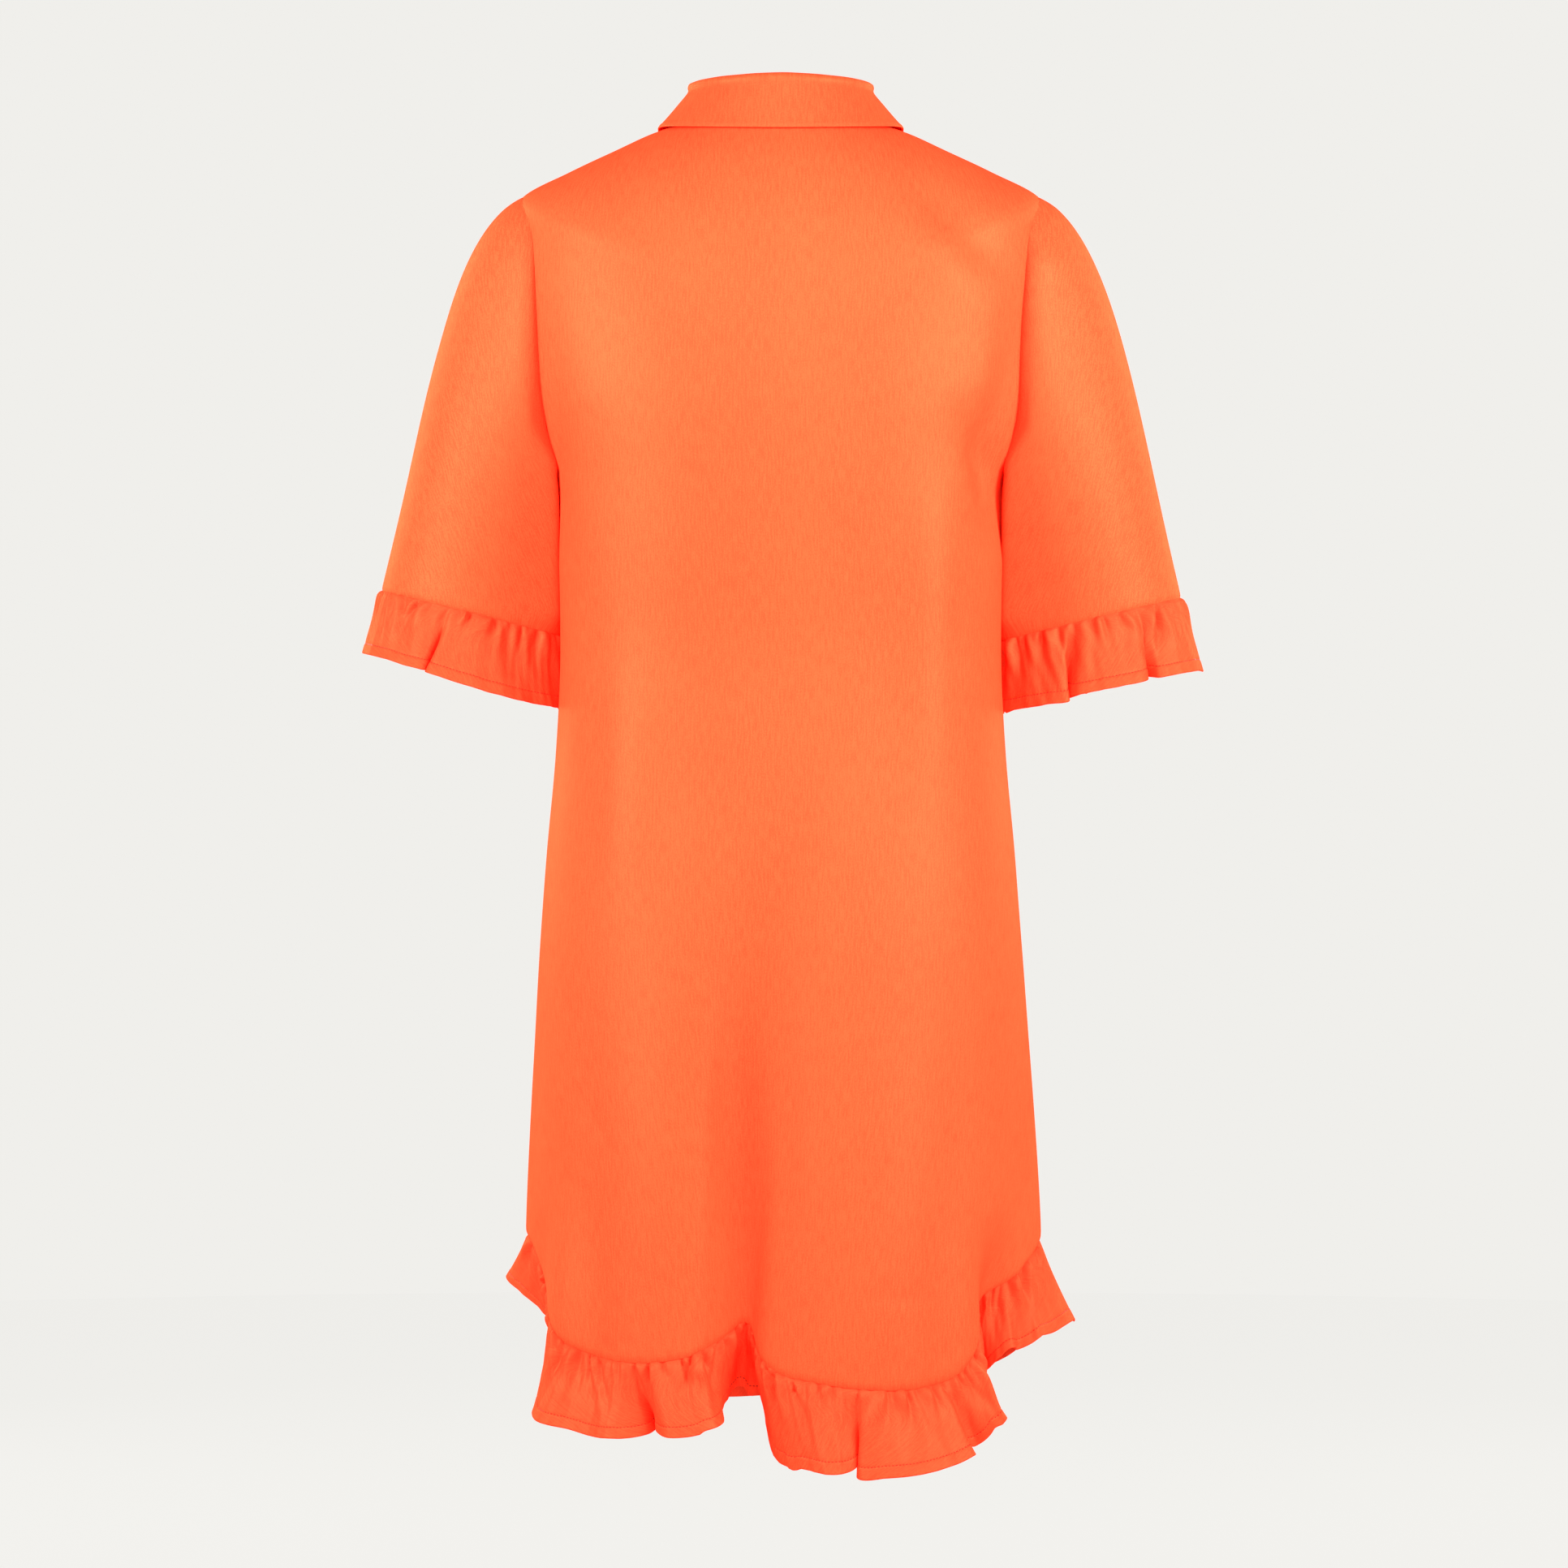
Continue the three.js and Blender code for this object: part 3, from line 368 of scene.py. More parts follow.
class BodyForm:
    """The surface that the body's cloth follows."""

    def __init__(self) -> None:
        self.rings, self.hems = (
            {key: np.array([getattr(row, key) for row in table], float) for key in keys.split()}
            for table, keys in ((RINGS, "side back front width back_depth front_depth square"),
                                (HEM, "angle height flare sway")))

    def ring(self, level: Array) -> dict[str, Array]:
        """The ring's sizes at each level."""
        return {key: through_rows(column, level) for key, column in self.rings.items()}

    def hem(self, angle: Array, key: str) -> Array:
        """One column of the hem at each angle."""
        turn = np.mod(angle, 360)
        angles = self.hems["angle"]
        count = len(angles)
        row = np.searchsorted(angles, turn, side="right") - 1
        ends = np.append(angles, 360.0)
        share = (turn - ends[row]) / (ends[row + 1] - ends[row])
        column = self.hems[key]
        return through_four(*(column[(row + k) % count] for k in (-1, 0, 1, 2)), share)

    def plain(self, angle: Array, level: Array) -> Array:
        """Places on the body before its folds."""
        angle, level = together(angle, level)
        ring = self.ring(level)
        c, s = turned_to(angle)
        is_back = s > 0
        exponent = 2 / ring["square"]
        middle = np.where(is_back, ring["back"], ring["front"])
        z = mix(middle, ring["side"], c * c)
        share = (level - HIP_LEVEL) / (HEM_LEVEL - HIP_LEVEL)
        z = np.where(level > HIP_LEVEL, mix(HIP_HEIGHT, self.hem(angle, "height"), share), z)
        depth = np.where(is_back, ring["back_depth"], ring["front_depth"])
        return np.stack([ring["width"] * power(c, exponent), depth * power(s, exponent), z], -1)

    def fold_shift(self, angle: Array, z: Array) -> tuple[Array, Array]:
        """How far the folds move the cloth out and along."""
        out = np.zeros_like(z)
        along = np.zeros_like(z)
        for fold in FOLDS:
            down = (fold.top - z) / (fold.top - fold.foot)
            if fold.keeps:
                strength = smooth(down)
            else:
                strength = np.sin(np.pi * np.clip(down, 0, 1)) ** 2
            centre = mix(fold.top_angle, fold.foot_angle, np.clip(down, 0, 1))
            across = (np.mod(angle - centre + 540, 360) - 180) / fold.spread
            bump = np.cos(np.clip(across, -1, 1) * np.pi / 2) ** 2 * strength
            out += fold.depth * bump
            along += fold.lean * bump
        return out, along

    def point(self, angle: Any, level: Any) -> Array:
        """Places at the middle of the body's cloth."""
        angle, level = together(angle, level)
        place = self.plain(angle, level)
        along = self.plain(angle + 0.5, level) - self.plain(angle - 0.5, level)
        along[..., 2] = 0
        along = unit(along)
        outward = np.stack([along[..., 1], -along[..., 0], np.zeros_like(angle)], -1)
        out, sideways = self.fold_shift(angle, place[..., 2])
        return place + outward * out[..., None] + along * sideways[..., None]

    def normal(self, angle: Any, level: Any) -> Array:
        """Directions squarely out of the body's cloth."""
        angle, level = together(angle, level)
        around = self.point(angle + 1, level) - self.point(angle - 1, level)
        above = self.point(angle, np.maximum(0, level - 0.1))
        below = self.point(angle, np.minimum(HEM_LEVEL, level + 0.1))
        return unit(np.cross(around, above - below))

    def laid(self, angle: Any, level: Any, out: Any) -> Array:
        """Places a distance squarely out of the body's cloth."""
        return self.point(angle, level) + self.normal(angle, level) * np.asarray(out)[..., None]

    def armhole_edge(self, level: Array, widest: float) -> Array:
        """Angle of the armhole's edge from the side, none above and below the armhole."""
        fall = np.clip((level - SHOULDER_LEVEL) / (UNDERARM_LEVEL - SHOULDER_LEVEL), 0, 1)
        return widest * np.sin(np.arccos(1 - 2 * fall))

    def front_angle(self, x: Any, level: Any) -> Array:
        """Angle on the front at which the body stands at an x."""
        x, level = together(x, level)
        low, high = halved(np.full(level.shape, -150.0), np.full(level.shape, -30.0),
                           lambda angle: self.point(angle, level)[..., 0] < x)
        return (low + high) / 2

    def level_at(self, angle: float, z: Any) -> Array:
        """Level of the body at an angle for each height."""
        z = np.asarray(z, float)
        low, high = halved(np.zeros_like(z), np.full_like(z, HEM_LEVEL),
                           lambda level: self.point(angle, level)[..., 2] > z)
        return (low + high) / 2


# ------------------------------------------------------------------ shells of cloth


@dataclass
class Grid:
    """A piece of cloth as a grid of middle points.

    Seen from outside, a row runs from right to left and the rows go down.
    """

    points: Array
    normals: Array
    is_tube: bool = False
    across: Array | None = None
    down: Array | None = None

    def measure(self, middle: float = 0.5) -> None:
        """Works out the weave's places, in millimetres from the middle column and the top.

        Args:
            middle: share of the row at which the grain line runs.
        """
        run = lengths(self.points, 1)
        total = run[:, -1:]
        self.across = run - total * middle
        self.down = lengths(self.points, 0)

    def lift(self, out: Array) -> None:
        """Moves the cloth out along its normals."""
        self.points = self.points + self.normals * out[..., None]

    def turn_normals(self) -> None:
        """Takes the normals from the points again, where the grid is square enough."""
        points = self.points
        if self.is_tube:
            across = np.roll(points, -1, 1) - np.roll(points, 1, 1)
        else:
            across = np.gradient(points, axis=1)
        down = unit(np.gradient(points, axis=0))
        found = np.cross(unit(across), down)
        size = np.linalg.norm(found, axis=-1, keepdims=True)
        weight = smooth((size - 0.25) / 0.35)
        self.normals = unit(self.normals * (1 - weight) + unit(found) * weight)


def rounded_rim(distance: Array, thickness: float, width: float | None = None) -> Array:
    """Thickness of a wall that rounds off towards its edge.

    Args:
        distance: millimetres from the edge.
        thickness: the wall's full thickness.
        width: how far from the edge it rounds; half the thickness if not given.

    Returns:
        The thickness at each place.
    """
    width = width or thickness / 2
    share = 1 - np.clip(distance / width, 0, 1)
    return np.maximum(thickness * np.sqrt(np.clip(1 - share**2, 0, 1)), THINNEST)


def linked(name: str, data: bpy.types.ID) -> Piece:
    """Adds an object to the scene."""
    thing = bpy.data.objects.new(name, data)
    bpy.context.scene.collection.objects.link(thing)
    return thing


def linked_faces(name: str, verts: Sequence[Any], faces: Sequence[Any]) -> Piece:
    """Adds an object made of faces."""
    mesh = bpy.data.meshes.new(name)
    mesh.from_pydata(verts, [], faces)
    return linked(name, mesh)


def worked(thing: Piece) -> bpy.types.Mesh:
    """The mesh that an object's modifiers make; the object itself goes."""
    bpy.context.view_layer.update()
    depsgraph = bpy.context.evaluated_depsgraph_get()
    mesh = bpy.data.meshes.new_from_object(thing.evaluated_get(depsgraph))
    bpy.data.objects.remove(thing)
    return mesh


def circle(turns: int, radius: float, x: float, y: float, z: float) -> list[tuple[float, ...]]:
    """Places round a level circle."""
    angles = (2 * math.pi * k / turns for k in range(turns))
    return [(x + radius * math.cos(a), y + radius * math.sin(a), z) for a in angles]


def make_mesh(name: str, verts: Array, faces: Array, uvs: Array | None = None) -> Piece:
    """Makes a smooth mesh object of quads.

    Args:
        name: the object's name.
        verts: places in millimetres.
        faces: four corners for each face.
        uvs: a place in the weave for each corner, in metres.

    Returns:
        The new object, linked to the scene.
    """
    mesh = bpy.data.meshes.new(name)
    mesh.vertices.add(len(verts))
    mesh.vertices.foreach_set("co", (verts * MM).astype(np.float32).ravel())
    mesh.loops.add(faces.size)
    mesh.loops.foreach_set("vertex_index", faces.astype(np.int32).ravel())
    mesh.polygons.add(len(faces))
    mesh.polygons.foreach_set("loop_start", np.arange(0, faces.size, 4, dtype=np.int32))
    mesh.polygons.foreach_set("use_smooth", np.ones(len(faces), bool))
    if uvs is not None:
        layer = mesh.uv_layers.new(name="weave")
        layer.data.foreach_set("uv", uvs.astype(np.float32).ravel())
    mesh.update(calc_edges=True)
    mesh.validate()
    mesh.set_sharp_from_angle(angle=SHARP_CLOTH)
    return linked(name, mesh)


def make_shell(name: str, grid: Grid, thickness: Any = CLOTH) -> Piece:
    """Makes one closed shell of cloth from a grid.

    Args:
        name: the object's name.
        grid: the cloth's middle points, with its weave measured.
        thickness: one number, or one for each point.

    Returns:
        The new object.
    """
    height, width = grid.points.shape[:2]
    half = np.broadcast_to(np.asarray(thickness, float), (height, width))[..., None] / 2
    verts = np.concatenate([
        (grid.points + grid.normals * half).reshape(-1, 3),
        (grid.points - grid.normals * half).reshape(-1, 3),
    ])
    count = height * width
    columns = width if grid.is_tube else width - 1
    i, j = np.meshgrid(np.arange(height - 1), np.arange(columns), indexing="ij")
    i, j = i.ravel(), j.ravel()
    k = (j + 1) % width
    a, b, c, d = i * width + j, i * width + k, (i + 1) * width + k, (i + 1) * width + j
    faces = [np.stack([a, b, c, d], 1), np.stack([d, c, b, a], 1) + count]
    j = np.arange(columns)
    k = (j + 1) % width
    foot = (height - 1) * width
    faces.append(np.stack([k, j, count + j, count + k], 1))
    faces.append(np.stack([foot + j, foot + k, count + foot + k, count + foot + j], 1))
    if not grid.is_tube:
        a = np.arange(height - 1) * width
        b = a + width
        faces.append(np.stack([a, b, count + b, count + a], 1))
        a, b = a + width - 1, b + width - 1
        faces.append(np.stack([b, a, count + a, count + b], 1))
    quads = np.concatenate(faces)
    flat = np.stack([grid.across, grid.down], -1).reshape(-1, 2)
    corners = flat[quads % count]
    if grid.is_tube:
        row = quads % count // width
        girth = grid.across[:, -1] - grid.across[:, 0]
        step = np.linalg.norm(grid.points[:, 0] - grid.points[:, -1], axis=-1)
        column = quads % count % width
        is_start = (column == 0) & (column.max(1) == width - 1)[:, None]
        corners[..., 0] += np.where(is_start, (girth + step)[row], 0)
    return make_mesh(name, verts, quads, corners * MM)


def sideways(grid: Grid) -> tuple[Array, Array]:
    """Distances from the start and from the end of each row."""
    run = lengths(grid.points, 1)
    return run, run[:, -1:] - run


def downward(grid: Grid) -> tuple[Array, Array]:
    """Distances from the top and from the foot of each column."""
    run = lengths(grid.points, 0)
    return run, run[-1:] - run


def rolled(distance: Array, depth: float, width: float) -> Array:
    """How far an edge rolls in, by the distance from it."""
    return -depth * (1 - np.clip(distance / width, 0, 1)) ** 2


def groove(distance: Array, place: float, depth: float, width: float = 0.7) -> Array:
    """How deep a line of stitches pulls the cloth in, by the distance from an edge."""
    return depth * np.exp(-(((distance - place) / width) ** 2))


def ripple(points: Array, size: float, seed: float) -> Array:
    """Soft unevenness of hanging cloth, longer down the cloth than across it."""
    x, y, z = points[..., 0], points[..., 1], points[..., 2]
    turn = np.arctan2(y, x) * MEAN_RADIUS
    broad = np.sin(turn / 29 + z / 160 + seed) * np.sin(z / 83 - turn / 51 + 2 * seed)
    fine = np.sin(turn / 11 + z / 61 + 3 * seed) * np.sin(z / 37 + turn / 23 + seed)
    return size * (broad + 0.35 * fine)


# ------------------------------------------------------------------ body panels


@dataclass
class BodyPanel:
    """A panel of the body: a patch of the body's surface between two edges."""

    form: BodyForm
    name: str
    flat: tuple[float, float]
    area: float
    creases: tuple[Crease, ...]
    middle: float = BACK_MIDDLE
    grain: float = 0.5
    width: float = 520.0
    column_step: float = 3.7
    row_step: float = 4.0
    edge: tuple[float, ...] = (0.5, 1.2, 2.2, 3.6, 5.4)
    hem_roll: float = 1.5
    hem_roll_width: float = 6.0
    seam_roll: float = 0.55
    seam_roll_width: float = 3.5
    uneven: float = 0.35
    calm_edge: float = 25.0  # creases die away this near to a side
    calm_foot: float = 12.0
    plain_from: float = 3.8  # levels between which the sleeve head covers the seam's roll
    plain_to: float = 5.2
    plain_share: float = 0.85
    seed: float = 0.4

    def edges(self, level: Array) -> tuple[Array, Array]:
        """Angles of the panel's first and last column at each level."""
        raise NotImplementedError

    def levels(self) -> Array:
        """Levels of the rows, evenly down the panel and closer at both ends."""
        dense = np.linspace(0, HEM_LEVEL, 900)
        line = self.form.point(self.middle, dense)
        run = np.concatenate([[0], np.cumsum(np.linalg.norm(np.diff(line, axis=0), axis=1))])
        return np.interp(spaced(0, run[-1], self.row_step, self.edge), run, dense)

    def grid(self) -> Grid:
        """The panel's cloth with its folds, creases and rolled edges."""
        level = self.levels()[:, None]
        share = spaced(0, self.width, self.column_step, self.edge)[None, :] / self.width
        start, end = self.edges(level)
        angle = mix(start, end, share)
        level = np.broadcast_to(level, angle.shape)
        grid = Grid(self.form.point(angle, level), self.form.normal(angle, level))
        near, far = sideways(grid)
        foot = downward(grid)[1]
        out = ripple(grid.points, self.uneven, self.seed)
        for crease in self.creases:
            out = out + crease.lift(grid.points)
        out = out * smooth(np.minimum(near, far) / self.calm_edge) * smooth(foot / self.calm_foot)
        plain = smooth((level - self.plain_from) / 0.3) * (1 - smooth((level - self.plain_to) / 1.4))
        width = self.seam_roll_width
        edge_roll = rolled(near, self.seam_roll, width) + rolled(far, self.seam_roll, width)
        out += edge_roll * (1 - self.plain_share * plain)
        out += rolled(foot, self.hem_roll, self.hem_roll_width)
        grid.lift(out)
        grid.turn_normals()
        grid.measure(self.grain)
        return grid

    def build(self, finish: "SatinCrepe") -> Piece:
        """Makes the panel and gives it its finish."""
        piece = make_shell(self.name, self.grid())
        return finish.dress(piece)


class BackPanel(BodyPanel):
    """The back, cut whole from side seam to side seam."""

    def edges(self, level: Array) -> tuple[Array, Array]:
        """Angles of the right and the left edge."""
        edge = self.form.armhole_edge(level, ARMHOLE_BACK)
        return 180 - edge, edge


@dataclass
class FrontPanel(BodyPanel):
    """One front, from its side seam to the edge under the button band."""

    side: Side = Side.LEFT

    def edges(self, level: Array) -> tuple[Array, Array]:
        """Angles of the panel's first and last column."""
        edge = self.form.armhole_edge(level, ARMHOLE_FRONT)
        middle = self.form.front_angle(-BAND_HALF, level)
        if self.side is Side.LEFT:
            return -edge, middle
        return middle, -180 + edge


@dataclass
class ButtonBand:
    """The band along the middle of the front, laid over both fronts."""

    form: BodyForm
    flat: tuple[float, float] = (0.035, 0.87)
    left: float = BAND_HALF
    right: float = -BAND_HALF - 4.0
    top_level: float = 0.12
    out: float = 1.5
    thickness: float = 1.3
    stitch_in: float = 3.0

    def places(self, x: Array, level: Array, out: Any) -> tuple[Array, Array]:
        """Points and normals on the fronts at each x and level."""
        angle = self.form.front_angle(x, level)
        return self.form.laid(angle, level, out), self.form.normal(angle, level)

    def levels(self, step: float = 3.0) -> Array:
        """Levels down the band."""
        return np.linspace(self.top_level, HEM_LEVEL, int(860 / step))[:, None]

    def grid(self) -> Grid:
        """The band's cloth, pressed down at its edges and along its stitching."""
        level = self.levels()
        x = spaced(0, self.left - self.right, 2.0, (0.25, 0.6, 1.2, 2.0, 3.0, 4.0))
        x = (self.left - x)[None, :]
        x, level = np.broadcast_arrays(x, level)
        points, normals = self.places(x, level, self.out)
        grid = Grid(points, normals)
        edge = np.minimum(*sideways(grid))
        out = rolled(edge, 0.45, 2.2) - groove(edge, self.stitch_in, 0.22)
        x, z = points[..., 0], points[..., 2]
        out += 0.16 * np.sin(z / 7.3) * np.sin(z / 3.1 + x / 9)
        out += ripple(points, 0.2, 1.7)
        grid.lift(out)
        grid.turn_normals()
        grid.measure()
        return grid

    def build(self, finish: "SatinCrepe") -> Piece:
        """Makes the band with rounded edges and gives it its finish."""
        grid = self.grid()
        thickness = rounded_rim(np.minimum(*sideways(grid)), self.thickness)
        return finish.dress(make_shell("button_band_cloth", grid, thickness))

    def stitch_lines(self) -> list["StitchLine"]:
        """The two lines of topstitching."""
        level = np.linspace(self.top_level + 0.06, HEM_LEVEL - 0.05, 320)
        lines = []
        out = self.out + self.thickness / 2 - THREAD_OUT
        for x in (self.left - self.stitch_in, self.right + self.stitch_in):
            points, normals = self.places(np.full_like(level, x), level, out)
            lines.append(StitchLine(points, normals))
        return lines


# ------------------------------------------------------------------ sleeves


@dataclass(frozen=True)
class SleeveWay:
    """How the sleeve leaves the armhole at one place round it."""

    out: float
    back: float
    up: float
    hold: float
    straight: float


@dataclass
class Sleeve:
    """One sleeve, and the ring that its cuff ruffle hangs from."""

    form: BodyForm
    side: Side
    creases: tuple[Crease, ...] = ()
    lean: float = 14.2
    cuff_out: float = 228.0
    cuff_y: float = -42.0
    cuff_z: float = -356.0
    cuff_half_width: float = 71.0
    cuff_half_depth: float = 60.0
    clear: float = -0.3
    top: SleeveWay = SleeveWay(0.88, 0, -0.47, 62, 170)
    beside: SleeveWay = SleeveWay(0.44, 0.24, -0.86, 55, 95)
    under: SleeveWay = SleeveWay(0.35, 0, -0.94, 12, 60)
    square: float = 0.6
    flat: tuple[float, float] = (0.42, 0.30)
    area: float = 0.097
    columns: int = 150
    rows: int = 96
    seam_roll: float = 0.8
    tuck: float = 1.3
    tuck_in: float = 3.0  # how far the turned edge reaches in under the body
    head_lift: float = 1.0  # fullness of the sleeve head below its seam
    head_start: float = 0.7  # and at the seam
    head_rise: float = 16.0
    head_length: float = 34.0
    softness: float = 0.3  # how softly the cloth comes to lie against the body
    clear_over: float = 12.0  # height over which it does so below the underarm
    inner_share: float = 1.7  # how much of the sleeve's inner side lies against the body
    inner_start: float = 0.45
    lies_above: float = 40.0  # it starts this far above the underarm
    lies_over: float = 38.0
    cuff_share: float = 0.06  # the last part of the sleeve, which stands free
    bridge: float = 5.0  # how far the cloth follows the body's curve before it spans it

    def clear_of_body(self, points: Array) -> Array:
        """Moves points sideways until they lie against the body's side or outside it.

        Points above the underarm stay. A negative clear lets the cloth press in by that much.
        """
        z = points[..., 2]
        edge = self.side_of_body(points, self.clear * smooth((UNDERARM_HEIGHT - z) / self.clear_over))
        out = points[..., 0] * self.side.value
        kept = edge + self.softness * np.logaddexp(0, (out - edge) / self.softness)
        kept = np.where(z > UNDERARM_HEIGHT, out, kept)
        result = points.copy()
        result[..., 0] = kept * self.side.value
        return result

    def side_of_body(self, points: Array, space: Array) -> Array:
        """How far out the body's side stands, with a space outside it, beside each point."""
        z = points[..., 2]
        low, _ = halved(np.full(z.shape, UNDERARM_LEVEL), np.full(z.shape, HIP_LEVEL),
                        lambda level: self.form.ring(level)["side"] > z, rounds=22)
        ring = self.form.ring(low)
        depth = np.where(points[..., 1] > 0, ring["back_depth"], ring["front_depth"]) + space
        share = np.maximum(0, 1 - (np.abs(points[..., 1]) / depth) ** ring["square"])
        return np.where(share > 0, (ring["width"] + space) * share ** (1 / ring["square"]), 0)

    def armhole_place(self, around: Array) -> tuple[Array, Array]:
        """Angle and level on the body round the armhole (0 at the shoulder, 90 at the back)."""
        c, s = turned_to(around)
        level = mix(SHOULDER_LEVEL, UNDERARM_LEVEL, (1 - c) / 2)
        widest = np.where(np.mod(around, 360) <= 180, ARMHOLE_BACK, -ARMHOLE_FRONT)
        edge = widest * np.abs(s)
        return edge if self.side is Side.LEFT else 180 - edge, level

    def armhole(self, around: Array) -> Array:
        """Places on the cut edge of the armhole."""
        return self.form.point(*self.armhole_place(around))

    def armhole_normal(self, around: Array) -> Array:
        """Directions out of the body's cloth along the armhole."""
        return self.form.normal(*self.armhole_place(around))

    def ways(self, around: Array) -> dict[str, Array]:
        """The three ways of leaving the armhole mixed for each place round it."""
        c, s = turned_to(around)
        shares = (np.where(c > 0, c * c, 0), s * s, np.where(c < 0, c * c, 0))
        mixed = {}
        for key in ("out", "back", "up", "hold", "straight"):
            total = sum(share * getattr(way, key)
                        for share, way in zip(shares, (self.top, self.beside, self.under)))
            mixed[key] = total * np.sign(s) if key == "back" else total
        return mixed

    def cuff(self, around: Array, down: Any = 0.0, grow: Any = 0.0) -> Array:
        """Places on the cuff's ring, moved along the sleeve and grown."""
        lean = math.radians(self.lean)
        cosine, sine = turned_to(around)
        wide = (self.cuff_half_width + grow) * cosine
        flatness = 1 - self.square * smooth(-cosine)
        deep = (self.cuff_half_depth + grow) * power(sine, flatness)
        out = self.cuff_out + wide * math.cos(lean) + down * math.sin(lean)
        z = self.cuff_z + wide * math.sin(lean) - down * math.cos(lean)
        return np.stack([self.side.value * out, self.cuff_y + deep + 0 * out, z + 0 * out], -1)

    def start(self, around: Array) -> tuple[Array, Array]:
        """The seam at the armhole, and the direction in towards its middle."""
        start = self.armhole(around)
        edge = unit(self.armhole(around + 2) - self.armhole(around - 2))
        middle = (self.armhole(np.array(90.0)) + self.armhole(np.array(270.0))) / 2
        inward = middle - start
        inward = unit(inward - edge * np.sum(inward * edge, -1, keepdims=True))
        return start, inward

    def seam_depth(self, around: Array) -> Array:
        """How clearly the seam shows: hardly at the shoulder, fully lower down."""
        return 1 - 0.9 * smooth((np.cos(np.radians(around)) - 0.1) / 0.6)

    def points(self, around: Array, along: Array) -> Array:
        """Places on the sleeve, from the armhole (0) to the cuff (1)."""
        start, inward = self.start(around)
        way = self.ways(around)
        sign = self.side.value
        leaves = unit(np.stack([sign * way["out"], way["back"], way["up"]], -1))
        turned = np.sqrt(np.clip(1 - np.sum(inward * leaves, -1) ** 2, 0, 1))
        start = start + inward * (0.1 + 0.7 * turned * self.seam_depth(around))[..., None]
        lean = math.radians(self.lean)
        straight = unit(np.array([sign * math.sin(lean), -0.14, -math.cos(lean)]))
        end = self.cuff(around)
        first = start + leaves * way["hold"][..., None]
        second = end - straight * way["straight"][..., None]
        t = along[..., None]
        curve = (
            (1 - t) ** 3 * start
            + 3 * (1 - t) ** 2 * t * first
            + 3 * (1 - t) * t**2 * second
            + t**3 * end
        )
        inner = smooth(-self.inner_share * np.cos(np.radians(around)) - self.inner_start)
        below = smooth((UNDERARM_HEIGHT + self.lies_above - curve[..., 2]) / self.lies_over)
        lies = inner * below * smooth((1 - along) / self.cuff_share)
        space = np.full(along.shape, self.clear)
        widest = self.side_of_body(curve * (1.0, 0.0, 1.0), space)
        beside = np.maximum(self.side_of_body(curve, space), widest - self.bridge)
        curve[..., 0] = mix(curve[..., 0], sign * np.minimum(beside, curve[..., 0] * sign), lies)
        return np.where(t > 0, self.clear_of_body(curve), curve)

    def grid(self) -> Grid:
        """The sleeve's cloth, with the turned edge of its armhole seam."""
        around = np.linspace(0, 360, self.columns, endpoint=False)
        if self.side is Side.LEFT:
            around = around[::-1]
        along = np.concatenate([[0, 0.004, 0.01, 0.018], np.linspace(0.03, 0.975, self.rows),
                                [0.985, 0.992, 0.9965, 1.0]])
        around, along = np.broadcast_arrays(around[None, :], along[:, None])
        points = self.points(around, along)
        grid = Grid(points, np.zeros_like(points), is_tube=True)
        grid.turn_normals()
        top, foot = downward(grid)
        out = ripple(points, 0.4, 2.3 + self.side.value)
        for crease in self.creases:
            out = out + crease.lift(points, self.cuff_y + 20)
        tuck = self.tuck * self.seam_depth(around) * np.exp(-top / 3.5)
        head = smooth((np.cos(np.radians(around)) - 0.1) / 0.7)
        head = head * np.exp(-((top / self.head_length) ** 2))
        rise = smooth(top / self.head_rise)
        out = out * rise * smooth(foot / 8) - tuck
        out = out + head * mix(self.head_start, self.head_lift, rise)
        grid.lift(out + rolled(foot, self.seam_roll, 3.0))
        first = grid.points[:1]
        start, inward = self.start(around[:1])
        normal = self.armhole_normal(around[:1])
        edge = unit(self.armhole(around[:1] + 2) - self.armhole(around[:1] - 2))
        under = unit(np.cross(edge, normal))
        under = under * -np.sign(np.sum(under * inward, -1, keepdims=True))
        depth = 1.0 + 0.3 * self.seam_depth(around[:1])
        tucked = start - normal * depth[..., None] + under * self.tuck_in
        grid.points = np.concatenate([tucked, mix(tucked, first, 0.6), grid.points])
        grid.normals = np.concatenate([grid.normals[:1], grid.normals[:1], grid.normals])
        grid.turn_normals()
        grid.measure()
        return grid

    def build(self, finish: "SatinCrepe") -> Piece:
        """Makes the sleeve and gives it its finish."""
        return finish.dress(make_shell(f"sleeve_cloth_{self.side.word}", self.grid()))


# ------------------------------------------------------------------ ruffles


class Hang:
    """The foot of a ruffle between its placed ridges and valleys."""

    def __init__(self, places: Sequence[FootPlace], is_ring: bool = False) -> None:
        rows = sorted(places, key=lambda place: place.angle)
        if is_ring:
            first, last = rows[0], rows[-1]
            rows = [FootPlace(last.angle - 360, last.out, last.along, last.drop), *rows,
                    FootPlace(first.angle + 360, first.out, first.along, first.drop)]
        self.angles = np.array([row.angle for row in rows])
        self.columns = np.array([[row.out, row.along, row.drop] for row in rows])
        self.slopes = 0.85 * np.gradient(self.columns, self.angles, axis=0)

    def at(self, angle: Array) -> tuple[Array, Array, Array]:
        """How far the foot stands out, along and down at each angle."""
        row = np.clip(np.searchsorted(self.angles, angle, side="right") - 1, 0, len(self.angles) - 2)
        space = (self.angles[row + 1] - self.angles[row])[..., None]
        share = (angle[..., None] - self.angles[row][..., None]) / space
        value = eased(self.columns[row], self.columns[row + 1],
                      space * self.slopes[row], space * self.slopes[row + 1], share)
        return value[..., 0], value[..., 1], value[..., 2]


